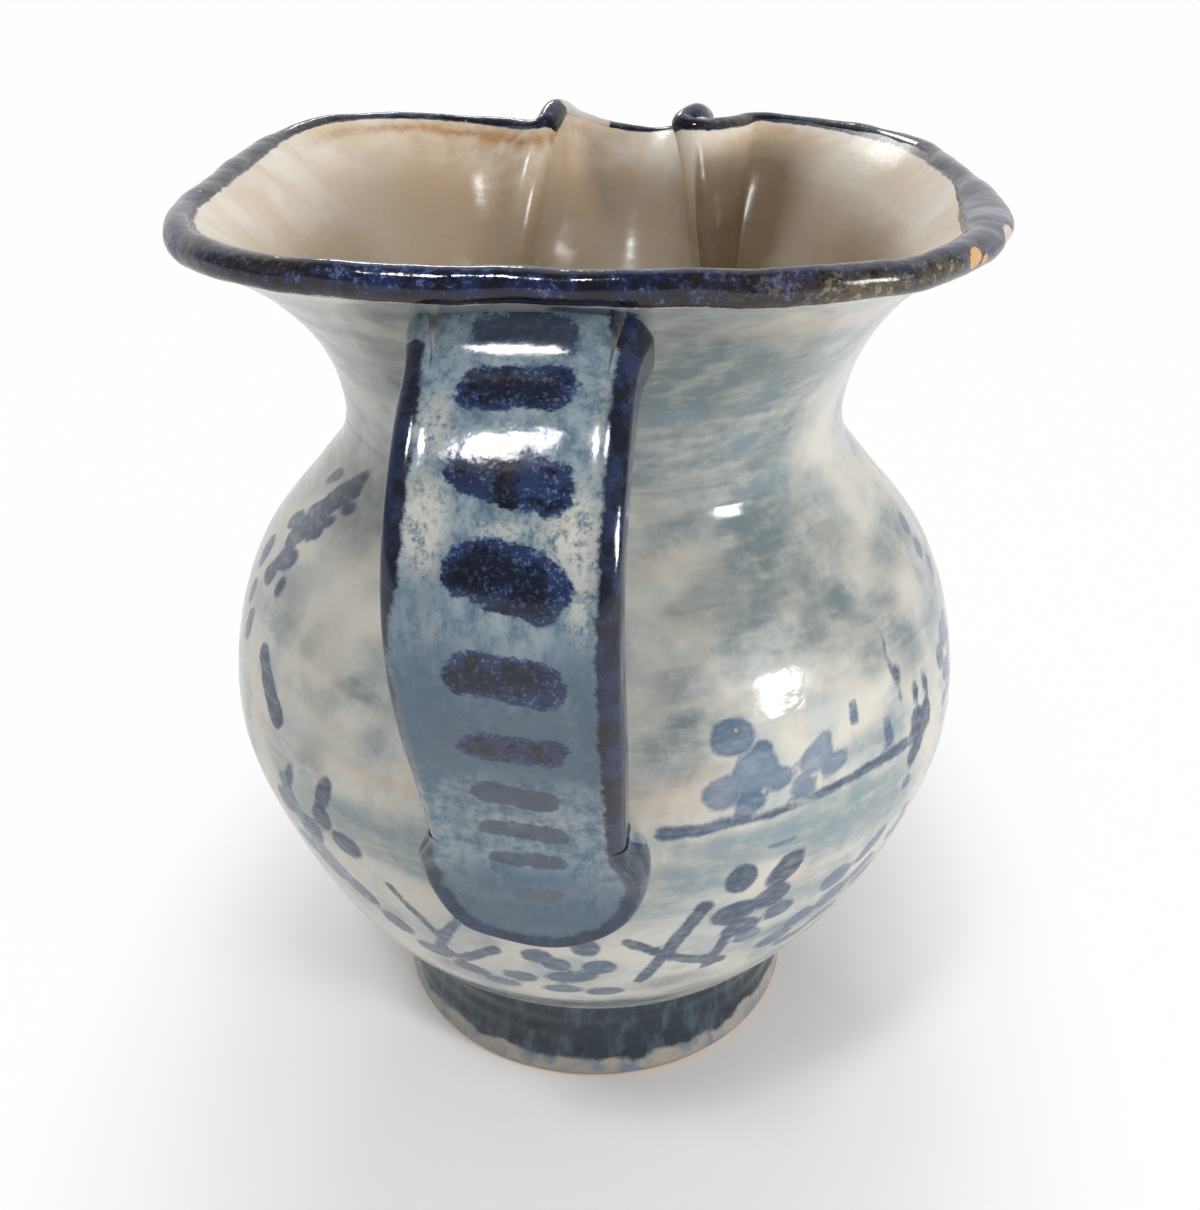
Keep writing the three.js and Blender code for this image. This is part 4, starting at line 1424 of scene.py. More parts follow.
        self.dabs((-53, 93.7, 3.2, 1.8), (-54, 88.4, 3.2, 1.8), (-44, 83.2, 2.6, 1.5),
                  (-30, 81.2, 2.8, 1.4), (-27, 79.5, 2.6, 1.4), (-36, 97, 3, 3.4), (-68, 92, 3, 2),
                  load=0.75, tone=Tone.TEAL)
        self.dabs((-74, 21, 5, 2.2), (-62, 22.8, 5, 2.2), (-90, 20, 5, 2), (-102, 21.4, 5, 2.2),
                  (-118, 22, 5, 2.4), (-46, 24, 5, 2.6), (-34, 27, 5, 3), (-132, 26, 4, 3),
                  (-70, 27, 5, 2), (-50, 33, 6, 2.4), (-38, 35, 6, 3), (-105, 27, 5, 2.4),
                  load=0.85, tone=Tone.WASH)
        self.dabs((-139, 54.2, 4, 1.2), (-126, 55.4, 4.6, 1.2), (-117, 56, 4.6, 1.3),
                  (-108, 57, 4.6, 1.6), (-75, 57.6, 4.6, 2.6, 0, 1.33), (-68, 58.6, 2.6, 2),
                  (-55, 87.5, 4.2, 2.2), (-62, 103.2, 8.5, 1.6), (-45, 102.8, 7.5, 1.6),
                  (-74, 103, 5, 1.5), (-72, 77.5, 3, 2), (-100, 44, 5, 3.2), (-84, 44, 4, 3),
                  (-50, 43, 5, 2.6), load=0.75, tone=Tone.ROSE)
        self.dabs((-28, 86, 6, 4), (-18, 80, 8, 5), (-45, 64.5, 4, 2.2, 0, 0.3),
                  (-80, 76, 4.5, 3.6), (-129, 58.6, 5, 2.6), (-125, 70, 5, 4.6, 0, 1),
                  (-71, 72.4, 3.6, 2.4, 0, 0.25), (-50, 62.5, 4.5, 1.6), (-28, 91, 5, 4),
                  (-72, 40, 4, 4), (-133, 72, 6, 5), (-110, 42, 4, 3.5), (-55, 66.5, 4, 2.4),
                  load=0.95, tone=Tone.CREAM)
        tones = (Tone.WASH, Tone.TEAL, Tone.ROSE, Tone.WASH, Tone.CREAM)
        for k, angle in enumerate(range(-14, 200, 19)):
            for j, height in enumerate((24, 36, 50, 62, 73, 84, 96)):
                wide, tall, a, z, load = self.chance.uniform(self.WASH_LEAST, self.WASH_MOST)
                self.dabs((angle + a, height + z, wide, tall), load=load,
                          tone=tones[(k + 2 * j) % len(tones)])

    def all(self) -> list[Dab | Pull]:
        """Paint everything and hand over the marks.

        Returns:
            The marks, in the order that they are laid down.
        """
        self.washes()
        self.under_the_lip()
        self.by_the_handle()
        self.below_the_handle()
        self.far_side()
        return self.marks


def handle_marks() -> list[Dab | Pull]:
    """The handle's bars: a broad blue dab with darker pools in it, ten down the strap and the pad,
    paler towards its end.

    Returns:
        The marks, by x across and s along in millimetres.
    """
    # x, s, half length, half height, load and how far the ends are tilted
    bars = (
        (0.1, 12.6, 4.4, 1.1, 0.8, 0.0), (0.2, 16.8, 4.9, 2.0, 1.0, -0.2),
        (0.5, 23.9, 5.1, 2.2, 0.95, 0.45), (0.6, 31.0, 5.0, 2.5, 1.0, 0.6),
        (0.4, 38.7, 5.0, 2.3, 0.98, 0.25), (0.2, 46.9, 4.7, 2.1, 0.87, 0.2),
        (-0.3, 54.5, 4.1, 1.7, 0.74, 0.5), (-0.2, 60.2, 4.3, 1.3, 0.68, 0.4),
        (0.1, 65.2, 3.8, 1.2, 0.64, 0.3), (0.5, 71.0, 2.2, 1.1, 0.45, 0.1))
    # x, s, half width, half height, tilt and load
    spots = {
        # The ink dabs at s 10.4 on the strap's top right are a cobalt pool that also paints the
        # lip's shadow on the strap
        Tone.INK: (
            (0.0, 12.5, 3.0, 0.5, 0, 0.75), (-1.2, 16.5, 2.0, 1.2, 0, 0.9),
            (2.2, 17.1, 1.6, 1.1, 0, 0.8), (5.2, 10.4, 1.6, 0.7, 0, 0.8),
            (0.2, 11.4, 3.0, 0.22, 0, 0.7), (0.1, 24.6, 0.85, 1.9, 0, 1.0),
            (-3.0, 23.8, 1.2, 0.9, 0, 0.5), (-1.4, 30.6, 2.4, 1.4, 0, 0.9),
            (2.6, 31.8, 1.5, 1.5, 0, 0.9), (1.2, 33.4, 1.2, 0.7, 0, 0.8),
            (-2.0, 39.0, 2.4, 1.2, 0, 0.85), (2.4, 38.4, 2.0, 1.1, 0, 0.8),
            (0.2, 47.2, 2.8, 1.0, 0, 0.5), (6.3, 10.4, 1.2, 1.5, 20, 0.9)),
        Tone.CREAM: (
            (-6.0, 27.5, 1.9, 3.6, 0, 1.0), (5.8, 27.6, 2.3, 3.2, 0, 1.0),
            (6.6, 32.0, 1.0, 3.0, 0, 0.7), (-6.0, 20.0, 1.6, 2.6, 0, 0.6),
            (-5.5, 35.0, 1.5, 2.0, 0, 0.2), (7.0, 20.0, 0.5, 4.0, 0, 0.4),
            (0.5, 27.6, 3.2, 0.8, 0, 0.6), (5.2, 45.0, 0.9, 4.0, 0, 0.4),
            (0.0, 58.4, 5.0, 1.2, 0, 0.4)),
        Tone.WASH: (
            (-6.0, 39.0, 2.8, 7.5, 0, 1.0), (6.0, 40.0, 2.4, 5.0, 0, 1.0),
            (4.0, 50.0, 4.0, 1.5, 0, 0.5), (-5.8, 30.5, 2.0, 2.4, 0, 0.5),
            (0.0, 5.0, 7.0, 2.0, 0, 0.5), (0.0, 69.6, 7.0, 3.4, 0, 0.9)),
    }
    marks: list[Dab | Pull] = []
    for x, s, wide, tall, load, tilt in bars:
        reach = wide - tall
        path = (x - reach, s - tilt), (x, s - 0.15), (x + reach, s + tilt)
        marks.append(Pull(path, tall * 0.95, tall, load))
    return marks + [Dab(*row, tone) for tone, rows in spots.items() for row in rows]


# Nodes: sums on sockets, and one way to add any node


class Value:
    """A socket of a material's nodes that takes part in Python sums."""

    def __init__(self, tree: "Tree", socket: bpy.types.NodeSocket) -> None:
        """Wrap a socket of a tree."""
        self.tree, self.socket = tree, socket

    def __add__(self, other: "Value | float") -> "Value":
        """Sum."""
        return self.tree.sum("ADD", self, other)

    def __sub__(self, other: "Value | float") -> "Value":
        """Difference."""
        return self.tree.sum("SUBTRACT", self, other)

    def __rsub__(self, other: float) -> "Value":
        """Difference from a number."""
        return self.tree.sum("SUBTRACT", other, self)

    def __mul__(self, other: "Value | float") -> "Value":
        """Product."""
        return self.tree.sum("MULTIPLY", self, other)

    __radd__ = __add__
    __rmul__ = __mul__

    def at_most(self, other: "Value | float") -> "Value":
        """The smaller of the two."""
        return self.tree.sum("MINIMUM", self, other)

    def at_least(self, other: "Value | float") -> "Value":
        """The larger of the two."""
        return self.tree.sum("MAXIMUM", self, other)

    def eased(self, low: float, high: float) -> "Value":
        """A smooth step.

        Args:
            low: Where it is 0, which may be the larger of the two.
            high: Where it is 1.

        Returns:
            A value from 0 to 1.
        """
        node = self.tree.node("ShaderNodeMapRange", {"interpolation_type": "SMOOTHSTEP"}, {
            "Value": self, "From Min": min(low, high), "From Max": max(low, high),
            "To Min": float(low > high), "To Max": float(low <= high)})
        return Value(self.tree, node.outputs[0])


Input = Value | float | Sequence[float] | bpy.types.NodeSocket


class Tree:
    """The nodes of a material or of the world."""

    def __init__(self, tree: bpy.types.NodeTree) -> None:
        """Empty a tree of nodes, to start again from nothing."""
        self.tree = tree
        self.tree.nodes.clear()

    def node(self, kind: str, settings: dict[str, object],
             inputs: dict[str | int, Input]) -> bpy.types.Node:
        """Add a node of any type: settings first, then its sockets' values or links.

        Args:
            kind: The node's type.
            settings: Its own settings, such as a Math node's operation.
            inputs: What goes into its sockets, by name or number.

        Returns:
            The new node.
        """
        made = self.tree.nodes.new(kind)
        for key, value in settings.items():
            setattr(made, key, value)
        for key, value in inputs.items():
            socket = made.inputs[key]
            source = value.socket if isinstance(value, Value) else value
            if isinstance(source, bpy.types.NodeSocket):
                self.tree.links.new(source, socket)
            else:
                socket.default_value = (*source[:3], 1.0) if socket.type == "RGBA" else source
        return made

    def sum(self, operation: str, a: Input, b: Input) -> Value:
        """A Math node on two inputs."""
        node = self.node("ShaderNodeMath", {"operation": operation}, {0: a, 1: b})
        return Value(self, node.outputs[0])


class Surface(Tree):
    """One material's nodes, with the patterns and the marks that the glazes are mixed from."""

    def __init__(self, name: str) -> None:
        """Start an empty material.

        Args:
            name: The material's name.
        """
        self.material = bpy.data.materials.new(name)
        self.material.use_nodes = True
        super().__init__(self.material.node_tree)
        self.spot = self.node("ShaderNodeTexCoord", {}, {}).outputs["Object"]

    def mark(self, name: str) -> Value:
        """A value kept at the mesh's points."""
        settings = {"attribute_type": "GEOMETRY", "attribute_name": name}
        return Value(self, self.node("ShaderNodeAttribute", settings, {}).outputs["Fac"])

    def mix(self, share: Input, first: Input, second: Input) -> Value:
        """A colour between two others.

        Args:
            share: How much of the second it has, from 0 to 1.
            first: The colour at 0.
            second: The colour at 1.

        Returns:
            The mixed colour.
        """
        settings = {"data_type": "RGBA", "blend_type": "MIX", "clamp_factor": True}
        node = self.node("ShaderNodeMix", settings, {0: share, 6: first, 7: second})
        return Value(self, node.outputs[2])

    def coats(self, ground: Input, *coats: tuple[Input, Input]) -> Value:
        """Colours laid one over the other.

        Args:
            ground: The colour that they are laid on.
            coats: Each one's share, from 0 to 1, and its colour, in order.

        Returns:
            The colour with all of them on.
        """
        for share, colour in coats:
            ground = self.mix(share, ground, colour)
        return ground

    def moved(self, size: float, stretch: Sequence[float],
              shift: Sequence[float]) -> bpy.types.NodeSocket:
        """The place on the surface, measured for a pattern.

        Args:
            size: The pattern's unit, in millimetres.
            stretch: How many times longer it is along x, y and z.
            shift: How many units it is moved along them.

        Returns:
            The socket with the place.
        """
        scale = tuple(1 / (size * MM * k) for k in stretch)
        inputs = {"Vector": self.spot, "Scale": scale, "Location": shift}
        return self.node("ShaderNodeMapping", {}, inputs).outputs[0]

    def noise(self, size: float, detail: float = 2.0, rough: float = 0.5,
              stretch: Sequence[float] = (1, 1, 1), shift: float = 0.0, bend: float = 0.0) -> Value:
        """Soft random values about 0.5, in object space.

        Args:
            size: The size of its largest lumps, in millimetres.
            detail: How many finer layers it has.
            rough: How strong each finer layer is.
            stretch: How many times longer the lumps are along x, y and z.
            shift: How far the pattern is moved, so that two of them differ.
            bend: How far it is distorted.

        Returns:
            The noise.
        """
        moved = self.moved(size, stretch, (shift, shift * 0.7, shift * 1.3))
        node = self.node("ShaderNodeTexNoise", {"noise_dimensions": "3D"}, {
            "Vector": moved, "Scale": 1.0, "Detail": detail, "Roughness": rough,
            "Distortion": bend})
        return Value(self, node.outputs["Fac"])

    def specks(self, size: float, shift: float) -> Value:
        """Distance to the nearest of many scattered spots.

        Args:
            size: The spots' spacing, in millimetres.
            shift: How far the pattern is moved.

        Returns:
            The distance, in shares of the spacing.
        """
        moved = self.moved(size, (1, 1, 1), (shift, shift, -shift))
        node = self.node("ShaderNodeTexVoronoi", {"feature": "F1"}, {
            "Vector": moved, "Scale": 1.0, "Randomness": 1.0})
        return Value(self, node.outputs["Distance"])


# The finishes


@dataclass(frozen=True)
class Glaze(ABC):
    """Glossy tin glaze over painted colours: the layers that every finish of the creamer shares."""

    name: str
    cream: Colour = (0.63, 0.605, 0.54)
    pale: Colour = (0.50, 0.53, 0.52)
    rose: Colour = (0.61, 0.50, 0.41)
    veil: Colour = (0.345, 0.36, 0.315)
    wash: Colour = (0.196, 0.241, 0.256)
    teal: Colour = (0.195, 0.275, 0.322)
    brush: Colour = (0.028, 0.051, 0.102)
    thin_brush: Colour = (0.075, 0.150, 0.265)
    cobalt: Colour = (0.014, 0.022, 0.068)
    ink: Colour = (0.005, 0.006, 0.014)
    clay: Colour = (0.58, 0.33, 0.16)
    shine: float = 0.10
    peel: float = 0.03
    clay_rough: float = 0.62
    index: float = 1.52

    def dress(self) -> bpy.types.Material:
        """Make the material: ground, paint and gloss in turn.

        Returns:
            The finished material.
        """
        tree = Surface(self.name)
        colour, dull = self.colours(tree)
        return self.gloss(tree, colour, dull)

    @abstractmethod
    def colours(self, tree: Surface) -> tuple[Value, Value | float]:
        """The colour over the whole surface, and how dull or bare it is, from 0 to 1."""

    def edge(self, tree: Surface, name: str) -> Value:
        """A mark's signed distance, with the wobble of a loaded brush on raw glaze."""
        return (tree.mark(name) + (tree.noise(2.2, 3, 0.6, shift=3) - 0.5) * 0.8
                + (tree.noise(0.5, 2, 0.6, shift=9) - 0.5) * 0.28)

    def ground(self, tree: Surface) -> Value:
        """Cream glaze that breaks to grey and rose, under streaked washes.

        Args:
            tree: The material's nodes.

        Returns:
            The colour.
        """
        streak = tree.noise(1.5, 4, 0.62, stretch=(4.5, 4.5, 1), shift=2)
        cloud = tree.noise(9, 4, 0.55, shift=5, bend=0.4)
        blot = tree.noise(3.4, 4, 0.6, shift=7)
        hair = tree.noise(0.45, 3, 0.6, stretch=(7, 7, 1), shift=11)
        grain = tree.noise(0.35, 2, 0.6, shift=1)
        wash, teal = tree.mark("wash"), tree.mark("teal")
        bare = 1 - tree.mark("cream") * 0.85
        loose = cloud.eased(0.40, 0.64) * (blot * 0.5 + streak * 0.5).eased(0.36, 0.58) * 0.5
        laid = (streak.eased(0.30, 0.58) * 0.45 + blot.eased(0.30, 0.60) * 0.5
                + hair.eased(0.35, 0.65) * 0.22)
        return tree.coats(
            self.cream,
            (cloud.eased(0.38, 0.66), self.pale),
            (blot.eased(0.46, 0.72) * 0.4, self.rose),
            (tree.mark("rose") * laid, self.rose),
            (wash.at_least(teal) * bare * (0.5 + blot * 0.3), self.veil),
            ((loose + wash * laid * 0.85) * bare, self.wash),
            (teal * laid * bare * 0.85, self.teal),
            (grain.eased(0.55, 0.8) * 0.16, self.pale),
        )

    def painted(self, tree: Surface, colour: Value) -> Value:
        """Brush marks and pools of ink, thinner where the brush ran dry.

        Args:
            tree: The material's nodes.
            colour: The ground that they are painted on.

        Returns:
            The colour with the marks on.
        """
        dry = tree.noise(1.1, 4, 0.65, stretch=(2.2, 2.2, 1), shift=6)
        grain = tree.noise(0.30, 2, 0.6, shift=8)
        edge, held = self.edge(tree, "brush"), tree.mark("brush_load")
        body = edge.eased(0.30, -0.26) * (0.6 + held * 0.4) * (0.78 + dry.eased(0.3, 0.6) * 0.22)
        rim = edge.eased(-0.7, -0.15) * edge.eased(0.2, -0.05) * 0.16
        full = held.eased(0.58, 0.96) * 0.92 + (dry - 0.5) * 0.9 + (grain - 0.5) * 0.5
        deep = self.edge(tree, "ink").eased(0.3, -0.4) * tree.mark("ink_load")
        return tree.coats(
            colour,
            (body, tree.mix(full, self.thin_brush, self.brush)),
            (rim * body, self.brush),
            (deep * (0.62 + grain.eased(0.4, 0.6) * 0.38), self.ink),
        )

    def gloss(self, tree: Surface, colour: Value, dull: Value | float) -> bpy.types.Material:
        """Finish with the glaze's shine: waves and orange peel in a bump, pinholes and dull clay.

        Args:
            tree: The material's nodes.
            colour: The colour over the whole surface.
            dull: 1 where the surface is bare or worn, 0 under full glaze.

        Returns:
            The finished material.
        """
        hole = tree.specks(5.5, 3).eased(0.055, 0.025) * tree.noise(14, shift=12).eased(0.5, 0.6)
        colour = tree.mix(hole * 0.8, colour, self.clay)
        haze = tree.noise(6, 3, 0.6, shift=15).eased(0.4, 0.75)
        rough = self.shine + haze * 0.07 + tree.noise(0.8, 2, shift=16).eased(0.5, 0.8) * 0.05
        rough = rough * (1 - dull) + dull * self.clay_rough + hole * 0.3
        wave = (tree.noise(4.5, 2, 0.5, shift=18) * (self.peel * 1.6)
                + tree.noise(1.5, 2, 0.55, shift=19) * (self.peel * 0.85)
                + tree.noise(0.45, 2, 0.6, shift=20) * (self.peel * 0.14))
        coarse = tree.noise(0.3, 3, 0.7, shift=22) * dull * 0.05
        bump = tree.node("ShaderNodeBump", {}, {
            "Strength": 1.0, "Distance": MM, "Height": wave + coarse - hole * 0.08})
        shader = tree.node("ShaderNodeBsdfPrincipled", {}, {
            "Base Color": colour, "Roughness": rough, "IOR": self.index, "Normal": bump.outputs[0]})
        tree.node("ShaderNodeOutputMaterial", {}, {"Surface": shader.outputs[0]})
        return tree.material


@dataclass(frozen=True)
class VesselGlaze(Glaze):
    """The body's glaze: painted outside, warm and bare of marks inside with painted shade in its
    depths, clay underneath.
    """

    inside: Colour = (0.66, 0.535, 0.395)
    inside_pale: Colour = (0.76, 0.70, 0.60)
    inside_grey: Colour = (0.50, 0.48, 0.43)
    # Painted shade: the dark brown laid over the inside where it lies deep or in a fold's shadow
    depth: Colour = (0.205, 0.145, 0.088)
    ochre: Colour = (0.40, 0.235, 0.115)

    def colours(self, tree: Surface) -> tuple[Value, Value]:
        """Outside, inside and underneath by the surface's own marks, with the lip's dark line and
        painted shade inside.

        Args:
            tree: The material's nodes.

        Returns:
            The colour, and how dull or bare the surface is.
        """
        cloud = tree.noise(11, 4, 0.55, shift=31, bend=0.5)
        blot = tree.noise(3.0, 4, 0.62, shift=33)
        wobble = (tree.noise(2.6, 3, 0.6, shift=35) - 0.5) * 1.3
        within, bare = tree.mark("inner"), tree.mark("bare")
        inner = tree.coats(
            self.inside,
            (cloud.eased(0.36, 0.66), self.inside_pale),
            (blot.eased(0.48, 0.78) * 0.45, self.inside_grey),
            # Painted shade inside, by the deep mark
            (tree.mark("deep") * (0.50 + cloud * 0.5), self.depth),
            (tree.mark("tan") * (0.55 + blot.eased(0.36, 0.62) * 0.45), self.ochre),
        )
        band = (tree.mark("band") + wobble * 0.6).eased(0.1, -0.25) * within
        band = band * (1 - tree.mark("no_band"))
        colour = tree.coats(
            self.painted(tree, self.ground(tree)),
            (within, inner),
            (band, self.cobalt),
            (band * tree.noise(0.9, 3, shift=37).eased(0.4, 0.6), self.ink),
            (bare, self.clay),
        )
        return colour, bare.at_least(within * 0.24)


@dataclass(frozen=True)
class LipGlaze(Glaze):
    """The lip's dark blue, bluer on its upper side partly as painted sheen, near black where it
    pooled, worn to brown and clay on its crest.
    """

    shine: float = 0.07
    peel: float = 0.06
    blue: Colour = (0.013, 0.023, 0.082)
    spark: Colour = (0.080, 0.112, 0.240)
    mist: Colour = (0.105, 0.140, 0.250)
    rust: Colour = (0.022, 0.016, 0.012)
    worn: Colour = (0.105, 0.080, 0.048)
    # Painted glints: the bright flecks on the worn patches
    painted_glint_gold: Colour = (0.36, 0.29, 0.18)
    chip: Colour = (0.62, 0.36, 0.15)
    flesh: Colour = (0.60, 0.47, 0.39)

    def colours(self, tree: Surface) -> tuple[Value, Value]:
        """Dark blue and black mottling, with worn places and chips from the marks.

        Args:
            tree: The material's nodes.

        Returns:
            The colour, and how dull or bare the surface is.
        """
        blot = tree.noise(1.6, 4, 0.7, shift=41)
        fine = tree.noise(0.38, 3, 0.7, shift=42)
        cloud = tree.noise(4.2, 3, 0.6, shift=43)
        glint = tree.noise(0.7, 3, 0.65, shift=44)
        wear, crest, both = tree.mark("wear"), tree.mark("crest"), fine * 0.5 + blot * 0.5
        # Partly painted sheen: the blue mottling is laid on where the lip faces up
        blue = crest * (1 - wear) * (blot * 0.6 + cloud * 0.4).eased(0.44, 0.58)
        # Bright blue flecks, mostly on the up-facing side: partly the glaze's own specks, partly
        # painted sheen
        spark = (fine * 0.6 + blot * 0.4).eased(0.53, 0.61) * (blue * 0.75 + 0.08)
        grey = (blot * 0.65 + fine * 0.35).eased(0.555, 0.62) * cloud.eased(0.46, 0.54)
        bare = (tree.mark("open") + (blot - 0.5) * 1.1 + (fine - 0.5) * 0.4).eased(0.4, 0.62)
        flake = (tree.mark("chip") + (fine - 0.5) * 0.7).eased(0.42, 0.58)
        colour = tree.coats(
            self.ink,
            (cloud.eased(0.45, 0.6) * (1 - crest), self.rust),
            (blue, self.blue),
            (spark, self.spark),
            (grey * 0.6, self.mist),
            (tree.mark("misty") * both.eased(0.42, 0.62) * 0.7, self.mist),
            (wear * both.eased(0.36, 0.56), self.worn),
            # Painted glints: bright gold flecks standing in for glitter of light on the worn glaze
            (wear * glint.eased(0.55, 0.62) * 0.7, self.painted_glint_gold),
            (bare, tree.mix(blot.eased(0.35, 0.65), self.rose, self.pale)),
            ((tree.mark("pink") + (fine - 0.5) * 0.9).eased(0.4, 0.6), self.flesh),
            (flake, self.chip),
        )
        return colour, flake * 0.8 + wear * 0.22


@dataclass(frozen=True)
class FootGlaze(Glaze):
    """The foot: a slate-blue band over cream glaze, and bare clay where it stands."""

    slate: Colour = (0.012, 0.024, 0.036)
    light: Colour = (0.048, 0.076, 0.100)
    deep: Colour = (0.008, 0.012, 0.020)
    stripe: Colour = (0.35, 0.32, 0.275)
    stripe_grey: Colour = (0.22, 0.23, 0.235)
    smudge: Colour = (0.11, 0.17, 0.28)
    toasted: Colour = (0.28, 0.17, 0.09)

    def colours(self, tree: Surface) -> tuple[Value, Value]:
        """The band above a wavering lower edge, mottled and run, over a smudged pale stripe.

        Args:
            tree: The material's nodes.

        Returns:
            The colour, and how dull or bare the surface is.
        """
        low, bare = tree.mark("low"), tree.mark("bare")
        blot = tree.noise(3.2, 4, 0.62, shift=51)
        drip = tree.noise(1.6, 4, 0.6, stretch=(1, 1, 3.5), shift=52)
        cloud = tree.noise(7, 3, 0.5, shift=53)
        band = tree.coats(self.slate, (drip.eased(0.42, 0.68), self.light),
                          (blot.eased(0.46, 0.34), self.deep))
        lower = low + (cloud - 0.5) * 5.0 + (blot - 0.5) * 1.8
        colour = tree.coats(
            self.stripe,
            (blot.eased(0.35, 0.7), self.stripe_grey),
            (blot.eased(0.52, 0.62) * cloud.eased(0.45, 0.6) * 0.7, self.smudge),
            (lower.eased(3.0, 4.0), band),
            ((low + (blot - 0.5) * 1.4).eased(1.1, 0.4), self.toasted),
            (bare, self.clay),
        )
        return colour, bare


@dataclass(frozen=True)
class HandleGlaze(Glaze):
    """The handle: pale blue that breaks to grey cream, blue dabs, and dark lines at its edges."""

    base: Colour = (0.084, 0.142, 0.206)
    light: Colour = (0.265, 0.325, 0.36)
    milk: Colour = (0.54, 0.53, 0.475)
    low: Colour = (0.074, 0.114, 0.163)
    pepper: Colour = (0.06, 0.095, 0.15)
    edge_spark: Colour = (0.05, 0.075, 0.16)
    thick: Colour = (0.018, 0.034, 0.094)
    boiled: Colour = (0.10, 0.14, 0.26)
    thin_dark: Colour = (0.026, 0.034, 0.058)
    thin_light: Colour = (0.070, 0.090, 0.13)

    def colours(self, tree: Surface) -> tuple[Value, float]:
        """Mottled pale blue, the dabs over it and the dark band beside each edge.

        Args:
            tree: The material's nodes.

        Returns:
            The colour, and 0, as the glaze is whole everywhere.
        """
        fine = tree.noise(0.45, 3, 0.65, shift=61)
        blot = tree.noise(2.4, 4, 0.6, shift=62)
        vein = tree.noise(1.0, 4, 0.65, stretch=(1, 1, 2.2), shift=66)
        along = tree.mark("along")
        low = along.eased(33, 45) * (1 - along.eased(48, 56)) + along.eased(66, 75) * 0.95
        colour = tree.coats(
            self.base,
            ((blot * 0.55 + vein * 0.45).eased(0.38, 0.62), self.light),
            (fine.eased(0.5, 0.75) * 0.4, self.light),
            (fine.eased(0.44, 0.30) * 0.35, self.pepper),
            (tree.mark("wash") * blot.eased(0.3, 0.6), self.base),
            (tree.mark("cream") * (vein * 0.6 + fine * 0.4).eased(0.36, 0.56), self.milk),
            (low.at_most(1.0) * (0.6 + blot * 0.5), self.low),
        )
        wobble = (tree.noise(1.8, 3, 0.6, shift=64) - 0.5) * 1.2 + (fine - 0.5) * 0.5
        band = (tree.mark("band") + wobble).eased(0.25, -0.25)
        tint = tree.coats(self.ink, (blot.eased(0.42, 0.62), self.cobalt),
                          (fine.eased(0.52, 0.75) * blot.eased(0.40, 0.55) * 0.5, self.edge_spark))
        strength = 0.97 - along.eased(60, 68) * 0.30
        return tree.mix(band * strength, self.bars(tree, colour), tint), 0.0

    def bars(self, tree: Surface, colour: Value) -> Value:
        """The bars of thick cobalt: ragged at the edge, black where they pooled, and broken up by
        pale specks where the glaze boiled through.

        Args:
            tree: The material's nodes.
            colour: The ground that they are painted on.

        Returns:
            The colour with the bars on.
        """
        ragged = ((tree.noise(2.1, 4, 0.7, stretch=(1.5, 1, 1), shift=71) - 0.5) * 2.7
                  + (tree.noise(0.55, 3, 0.65, shift=72) - 0.5) * 0.75)
        held, edge = tree.mark("brush_load"), tree.mark("brush") + ragged
        pool = tree.noise(1.6, 3, 0.6, shift=73).eased(0.46, 0.58) * edge.eased(-0.2, -0.9)
        inked = (tree.mark("ink") + ragged * 1.3).eased(0.9, -0.4) * tree.mark("ink_load")
        deep = inked.at_least(pool)
        boil = tree.noise(0.34, 2, 0.8, shift=74).eased(0.53, 0.63)
        speck = boil.at_least(tree.specks(0.7, 77).eased(0.34, 0.14))
        speck = speck * tree.noise(1.0, 2, shift=75).eased(0.38, 0.54)
        dry = tree.noise(0.8, 4, 0.7, stretch=(2.5, 1, 1), shift=76)
        thin = tree.mix(dry.eased(0.38, 0.62), self.thin_dark, self.thin_light)
        thick = tree.coats(self.thick, (deep, self.ink),
                           (speck * (1 - deep * 0.7) * 0.9, self.boiled))
        strong = held.eased(0.70, 0.92)
        faint = (1 - strong) * (held * 1.25).at_most(1.0) * (0.6 + dry.eased(0.3, 0.6) * 0.4)
        cover = edge.eased(0.25, -0.15) * (strong + faint)
        return tree.mix(cover, colour, tree.mix(strong, thin, thick))


# The studio, in metres


@dataclass(frozen=True)
class Lamp:
    """An area lamp: degrees round from -Y towards +X, degrees up, metres away, width and height,
    watts, and the height that it looks at."""

    name: str
    azimuth: float
    up: float
    far: float
    size: tuple[float, float]
    power: float
    aim: float = 0.06

    def hang(self) -> None:
        """Put the lamp in the scene, turned to the creamer."""
        data = bpy.data.lights.new(self.name, "AREA")
        data.shape, data.energy = "RECTANGLE", self.power
        data.size, data.size_y = self.size
        lamp = bpy.data.objects.new(self.name, data)
        a, h = radians(self.azimuth), radians(self.up)
        way = Vector((sin(a) * cos(h), -cos(a) * cos(h), sin(h)))
        lamp.matrix_world = (Matrix.Translation(way * self.far + Vector((0, 0, self.aim)))
                             @ way.to_track_quat("Z", "Y").to_matrix().to_4x4())
        bpy.context.scene.collection.objects.link(lamp)


